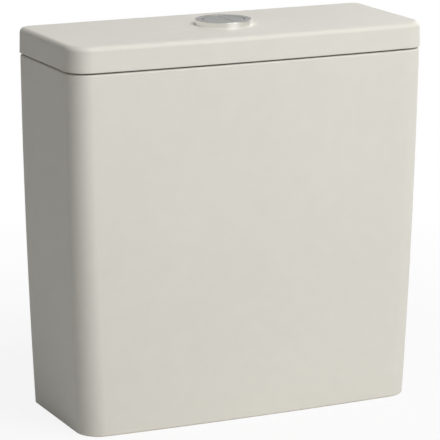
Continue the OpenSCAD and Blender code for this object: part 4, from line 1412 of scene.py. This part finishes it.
@dataclass
class FlushValve:
    """Flush valve: base, tower, stem with the overflow, seal, rockers, links and the half float."""

    maker: Maker
    tail_r: float = 0.0295
    outlet_r: float = 0.025
    seat_r: float = 0.031
    seat_drop: float = 0.010
    flange: float = 0.005
    flange_edge_r: float = 0.0012
    thread_start: float = 0.002
    thread_pitch: float = 0.003
    thread_depth: float = 0.001
    washer_nose_in: float = 0.004
    washer_nose_r: float = 0.004
    washer_shoulder_r: float = 0.006
    washer_straight: float = 0.018
    tube_r: float = 0.015
    tube_bore: float = 0.0128
    carrier: float = 0.004
    ring_gap: float = 0.0003
    mark_start: float = 0.012
    mark_end: float = 0.006
    mark_pitch: float = 0.010
    mark_depth: float = 0.0003
    mark_shape: tuple[Pair, ...] = ((0.0, 0.0), (0.0003, 1.0), (0.0009, 1.0), (0.0012, 0.0))
    mould_line: float = 0.0004
    stop_reach: float = 0.006
    float_gap: float = 0.0006
    wide_steps: int = 120
    tube_steps: int = 80
    mouldings: tuple[Dressed, ...] = (
        ("flush_back_nut", WHITE, Edge.SMALL),
        ("flush_tower", WHITE, Edge.FINE),
        ("tower_head", WHITE, Edge.LIGHT),
        ("rocker_pins", PIN_STEEL, Edge.CRISP),
        ("full_rocker", BLUE, Edge.SMALL),
        ("half_rocker", GREY, Edge.SMALL),
        ("lift_yoke", GREY, Edge.LIGHT),
        ("full_link", BLUE, Edge.FINE),
        ("half_link", GREY, Edge.FINE),
        ("seal_retainer", GREY, Edge.LIGHT),
        ("half_float_stop", GREY, Edge.LIGHT),
    )

    def build(self) -> None:
        """Builds the turned pieces and dresses the moulded ones."""
        self.base()
        self.rings()
        self.stem()
        self.float_ring()
        self.maker.dress_all(self.mouldings)

    def base(self) -> None:
        """Threaded tail, flange and seat."""
        low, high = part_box("flush_base")
        flange_r = high.x
        flange_top = high.z - self.seat_drop
        flange_low = flange_top - self.flange
        corners = [
            (self.outlet_r, low.z, Edge.SOFT),
            (self.tail_r, low.z, Edge.SOFT),
            (self.tail_r, flange_low, Edge.NONE),
            (flange_r, flange_low, Edge.SMALL),
            (flange_r, flange_top, self.flange_edge_r),
            (self.seat_r, flange_top, Edge.BROAD),
            (self.seat_r, high.z, Edge.BROAD),
            (self.outlet_r, high.z, Edge.WIDE),
        ]
        start, end = low.z + self.thread_start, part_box("flush_back_nut")[1].z
        thread = Thread(self.tail_r, start, end, self.thread_pitch, self.thread_depth)
        skin = Skin().turn(rounded(corners), steps=self.wide_steps, thread=thread)
        self.maker.piece("valve_base", skin, "tank", [WHITE], ["flush_base"])

    def rings(self) -> None:
        """Rubber ring on the floor, rubber seal on the seat and foam coupling washer."""
        inner = self.tail_r + self.ring_gap
        self.maker.seal("floor_seal", "flush_gasket", "tank", inner)
        self.maker.seal("seat_seal", "flush_seal", "valve_stem", self.tube_r + SEAT_GAP)
        low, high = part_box("coupling_washer")
        corners = [
            (inner, low.z, Edge.BROAD),
            (high.x - self.washer_nose_in, low.z, self.washer_nose_r),
            (high.x, high.z - self.washer_straight, self.washer_shoulder_r),
            (high.x, high.z, Edge.WIDE),
            (inner, high.z, Edge.EASED),
        ]
        skin = Skin().turn(rounded(corners))
        washer = self.maker.piece("foam_coupling", skin, "tank", [FOAM], ["coupling_washer"])

    def stem(self) -> None:
        """Overflow tube with the carrier of the seal and ring marks up its side."""
        low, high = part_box("overflow_tube")
        carrier_r = high.x
        carrier_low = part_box("flush_seal")[1].z
        carrier_top = carrier_low + self.carrier
        corners = [
            (self.tube_bore, low.z, Edge.FINE),
            (self.tube_r, low.z, Edge.FINE),
            (self.tube_r, carrier_low, Edge.NONE),
            (carrier_r, carrier_low, Edge.FINE),
            (carrier_r, carrier_top, Edge.EASED),
            (self.tube_r, carrier_top, Edge.WIDE),
        ]
        mark = carrier_top + self.mark_start
        while mark < high.z - self.mark_end:
            for up, sunk in self.mark_shape:
                corners.append((self.tube_r - self.mark_depth * sunk, mark + up, Edge.NONE))
            mark += self.mark_pitch
        corners += [(self.tube_r, high.z, Edge.SOFT), (self.tube_bore, high.z, Edge.SOFT)]
        skin = Skin().turn(rounded(corners), steps=self.tube_steps)
        self.maker.piece("valve_tube", skin, "valve_stem", [WHITE], ["overflow_tube"])

    def float_ring(self) -> None:
        """Ring float of the half flush, with a mould line round its middle."""
        low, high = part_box("half_float")
        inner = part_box("half_float_stop")[1].x - self.stop_reach + self.float_gap
        middle = (low.z + high.z) / 2
        line = self.mould_line
        corners = [
            (inner, low.z, Edge.SOFT),
            (high.x, low.z, Edge.ROUND),
            (high.x, middle - line, Edge.NONE),
            (high.x - line, middle, Edge.NONE),
            (high.x, middle + line, Edge.NONE),
            (high.x, high.z, Edge.ROUND),
            (inner, high.z, Edge.SOFT),
        ]
        skin = Skin().turn(rounded(corners), steps=self.wide_steps)
        self.maker.piece("float_ring", skin, "half_float", [BLUE], ["half_float"])


@dataclass
class FillValve:
    """Fill valve: shank, riser, head, diaphragm, cap, lever, link and float cup."""

    maker: Maker
    inlet_r: float = 0.01045
    neck_r: float = 0.0102
    strainer_seat_r: float = 0.00748
    strainer_room: float = 0.02003
    pipe_r: float = 0.0082
    water_r: float = 0.0055
    flange: float = 0.006
    ring_gap: float = 0.0003
    head_socket: float = 0.008
    chamber_r: float = 0.014
    head_edge_r: float = 0.0025
    thread_start: float = 0.0015
    thread_end: float = 0.0005
    thread_pitch: float = 0.0018
    thread_depth: float = 0.0009
    wave: tuple[Pair, ...] = ((0.72, 0.0), (0.62, 0.0009), (0.5, 0.0))
    mouldings: tuple[Dressed, ...] = (
        ("fill_back_nut", WHITE, Edge.SMALL),
        ("fill_strainer", PIN_STEEL, Edge.TINY),
        ("fill_riser", WHITE, Edge.CRISP),
        ("riser_lock", BLUE, Edge.FINE),
        ("fill_cap", BLUE, Edge.LIGHT),
        ("float_lever", GREY, Edge.LIGHT),
        ("lever_pin", PIN_STEEL, Edge.SLIGHT),
        ("float_link", PIN_STEEL, Edge.NONE),
        ("fill_float", GREY, Edge.LIGHT),
        ("valve_pin", PIN_STEEL, Edge.NONE),
    )

    def __post_init__(self) -> None:
        """Takes the axis from the model."""
        low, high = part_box("fill_shank")
        self.centre = ((low.x + high.x) / 2, 0.0)

    def build(self) -> None:
        """Builds the turned pieces and dresses the moulded ones."""
        self.shank()
        self.rings()
        self.head()
        self.maker.dress_all(self.mouldings)

    def shank(self) -> None:
        """Threaded tail, neck, flange and inner pipe."""
        low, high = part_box("fill_shank")
        flange_r = (high.y - low.y) / 2
        flange_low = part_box("fill_gasket")[1].z
        flange_top = flange_low + self.flange
        nut_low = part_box("fill_back_nut")[0].z
        corners = [
            (self.strainer_seat_r, low.z, Edge.FINE),
            (self.inlet_r, low.z, Edge.SMALL),
            (self.inlet_r, nut_low, Edge.NONE),
            (self.neck_r, nut_low, Edge.NONE),
            (self.neck_r, flange_low, Edge.NONE),
            (flange_r, flange_low, Edge.FINE),
            (flange_r, flange_top, Edge.EASED),
            (self.pipe_r, flange_top, Edge.NONE),
            (self.pipe_r, high.z, Edge.FINE),
            (self.water_r, high.z, Edge.FINE),
            (self.water_r, low.z + self.strainer_room, Edge.NONE),
            (self.strainer_seat_r, low.z + self.strainer_room, Edge.NONE),
        ]
        start, end = low.z + self.thread_start, nut_low - self.thread_end
        thread = Thread(self.inlet_r, start, end, self.thread_pitch, self.thread_depth)
        skin = Skin().turn(rounded(corners), self.centre, thread=thread)
        self.maker.piece("inlet_shank", skin, "tank", [WHITE], ["fill_shank"])

    def rings(self) -> None:
        """Rubber ring on the floor and rubber diaphragm in the head."""
        self.maker.seal("inlet_seal", "fill_gasket", "tank", self.neck_r + self.ring_gap, self.centre)
        low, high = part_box("fill_diaphragm")
        outer = (high.y - low.y) / 2
        wave = [(outer * share, high.z - sunk) for share, sunk in self.wave]
        outline = [(0.0, low.z), (outer, low.z), (outer, high.z)] + wave + [(0.0, high.z)]
        skin = Skin().turn(outline, self.centre)
        self.maker.piece("rubber_diaphragm", skin, "tank", [RUBBER], ["fill_diaphragm"])

    def head(self) -> None:
        """Valve head with its socket and the seat of the diaphragm."""
        low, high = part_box("fill_head")
        outer = (high.y - low.y) / 2
        seat_low, seat_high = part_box("fill_diaphragm")
        seat_r = (seat_high.y - seat_low.y) / 2 + SEAT_GAP
        socket_r, socket_top = self.pipe_r + SEAT_GAP, low.z + self.head_socket
        corners = [
            (socket_r, low.z, Edge.CRISP),
            (outer, low.z, self.head_edge_r),
            (outer, high.z, Edge.CRISP),
            (seat_r, high.z, Edge.HAIR),
            (seat_r, seat_low.z, Edge.NONE),
            (self.chamber_r, seat_low.z, Edge.HAIR),
            (self.chamber_r, socket_top, Edge.NONE),
            (socket_r, socket_top, Edge.NONE),
        ]
        skin = Skin().turn(rounded(corners), self.centre)
        self.maker.piece("valve_head", skin, "tank", [WHITE], ["fill_head"])


@dataclass
class Lamp:
    """A soft box aimed at the object."""

    name: str
    azimuth_deg: float
    elevation_deg: float
    distance: float
    size: float
    power: float


@dataclass
class Studio:
    """Pale floor, soft light, white surroundings and the camera."""

    target: Point = (-0.00382, 0.0, 0.18666)
    azimuth_deg: float = -24.98
    elevation_deg: float = 13.23
    distance: float = 2.66324
    focal_px: float = 2657.08
    image_px: float = 440.0
    sensor_mm: float = 36.0
    surround: float = 0.205
    floor_half: float = 15.0
    floor_colour: Colour = (0.64, 0.64, 0.64, 1.0)
    shadow_fade: Pair = (0.25, 0.9)
    floor_white: Pair = (0.88, 1.0)
    clip_end: float = 100.0
    lamps: tuple[Lamp, ...] = (
        Lamp("key_softbox", 28.0, 50.0, 4.0, 2.6, 122.0),
        Lamp("front_softbox", 15.0, 25.0, 4.0, 3.0, 46.0),
        Lamp("back_softbox", 128.0, 10.0, 4.0, 2.6, 50.0),
    )

    def build(self) -> None:
        """Makes the camera, the lamps, the surroundings and the floor."""
        self.camera()
        for lamp in self.lamps:
            self.light(lamp)
        self.surroundings()
        self.floor()
        bpy.context.scene.view_settings.view_transform = "Standard"

    def place(self, azimuth_deg: float, elevation_deg: float, distance: float) -> Vector:
        """A point at an azimuth, elevation and distance from the target."""
        turn, rise = math.radians(azimuth_deg), math.radians(elevation_deg)
        away = Vector((math.sin(turn) * math.cos(rise), -math.cos(turn) * math.cos(rise), math.sin(rise)))
        return Vector(self.target) + away * distance

    def aim(self, thing: bpy.types.Object, place: Vector) -> None:
        """Puts a lamp or camera at a place, facing the target."""
        bpy.context.scene.collection.objects.link(thing)
        thing.location = place
        thing.rotation_euler = (Vector(self.target) - place).to_track_quat("-Z", "Y").to_euler()

    def camera(self) -> None:
        """The camera, at the photograph's viewing angle."""
        data = bpy.data.cameras.new("camera")
        data.sensor_width = self.sensor_mm
        data.lens = self.focal_px * self.sensor_mm / self.image_px
        data.clip_end = self.clip_end
        seen = bpy.data.objects.new("camera", data)
        self.aim(seen, self.place(self.azimuth_deg, self.elevation_deg, self.distance))
        bpy.context.scene.camera = seen

    def light(self, lamp: Lamp) -> None:
        """A square soft box that the camera doesn't see."""
        data = bpy.data.lights.new(lamp.name, "AREA")
        data.size = lamp.size
        data.energy = lamp.power
        made = bpy.data.objects.new(lamp.name, data)
        self.aim(made, self.place(lamp.azimuth_deg, lamp.elevation_deg, lamp.distance))
        made.visible_camera = False

    def surroundings(self) -> None:
        """White where it is seen or reflected, and a plain dim light elsewhere."""
        world = bpy.data.worlds.new("surroundings")
        bpy.context.scene.world = world
        world.use_nodes = True
        world.node_tree.nodes.clear()
        wiring = Wiring(world.node_tree)
        white = wiring.add("ShaderNodeBackground", {"Color": PURE_WHITE, "Strength": 1.0})
        dim = wiring.add("ShaderNodeBackground", {"Color": PURE_WHITE, "Strength": self.surround})
        inputs = {0: seen_directly(wiring), 1: dim.outputs[0], 2: white.outputs[0]}
        mixed = wiring.add("ShaderNodeMixShader", inputs)
        wiring.add("ShaderNodeOutputWorld", {"Surface": mixed.outputs[0]})

    def floor(self) -> None:
        """A wide pale floor that keeps the shadow near the object and turns white further off."""
        half = self.floor_half
        skin = Skin()
        skin.face(skin.ring([(-half, -half, 0.0), (half, -half, 0.0), (half, half, 0.0), (-half, half, 0.0)]))
        floor = bpy.data.objects.new("floor", skin.mesh("floor"))
        bpy.context.scene.collection.objects.link(floor)
        paint = bpy.data.materials.new("pale floor")
        paint.use_nodes = True
        paint.node_tree.nodes.clear()
        wiring = Wiring(paint.node_tree)
        place = wiring.add("ShaderNodeTexCoord").outputs["Object"]
        away = wiring.add("ShaderNodeVectorMath", {0: place}, operation="LENGTH").outputs["Value"]
        far = wiring.spread(away, self.shadow_fade, self.floor_white)
        share = wiring.math("MULTIPLY", far, seen_directly(wiring))
        matt = wiring.add("ShaderNodeBsdfDiffuse", {"Color": self.floor_colour})
        white = wiring.add("ShaderNodeEmission", {"Color": PURE_WHITE, "Strength": 1.0})
        mixed = wiring.add("ShaderNodeMixShader", {0: share, 1: matt.outputs[0], 2: white.outputs[0]})
        wiring.add("ShaderNodeOutputMaterial", {"Surface": mixed.outputs[0]})
        floor.data.materials.append(paint)


def seen_directly(wiring: Wiring) -> bpy.types.NodeSocket:
    """1 on rays from the camera, from gloss or through glass, and 0 on the rest."""
    path = wiring.add("ShaderNodeLightPath")
    seen = wiring.math("MAXIMUM", path.outputs["Is Camera Ray"], path.outputs["Is Glossy Ray"])
    return wiring.math("MAXIMUM", seen, path.outputs["Is Transmission Ray"])


def main() -> None:
    """Builds the cistern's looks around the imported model."""
    logging.basicConfig(level=logging.INFO, format="%(message)s")
    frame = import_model()
    maker = Maker(frame)
    plan = Plan()
    Studio().build()
    for assembly in (CeramicTank(maker, plan), CeramicLid(maker, plan), PushButton(maker)):
        assembly.build()
    for assembly in (FlushValve(maker), FillValve(maker)):
        assembly.build()


if __name__ == "__main__":
    main()
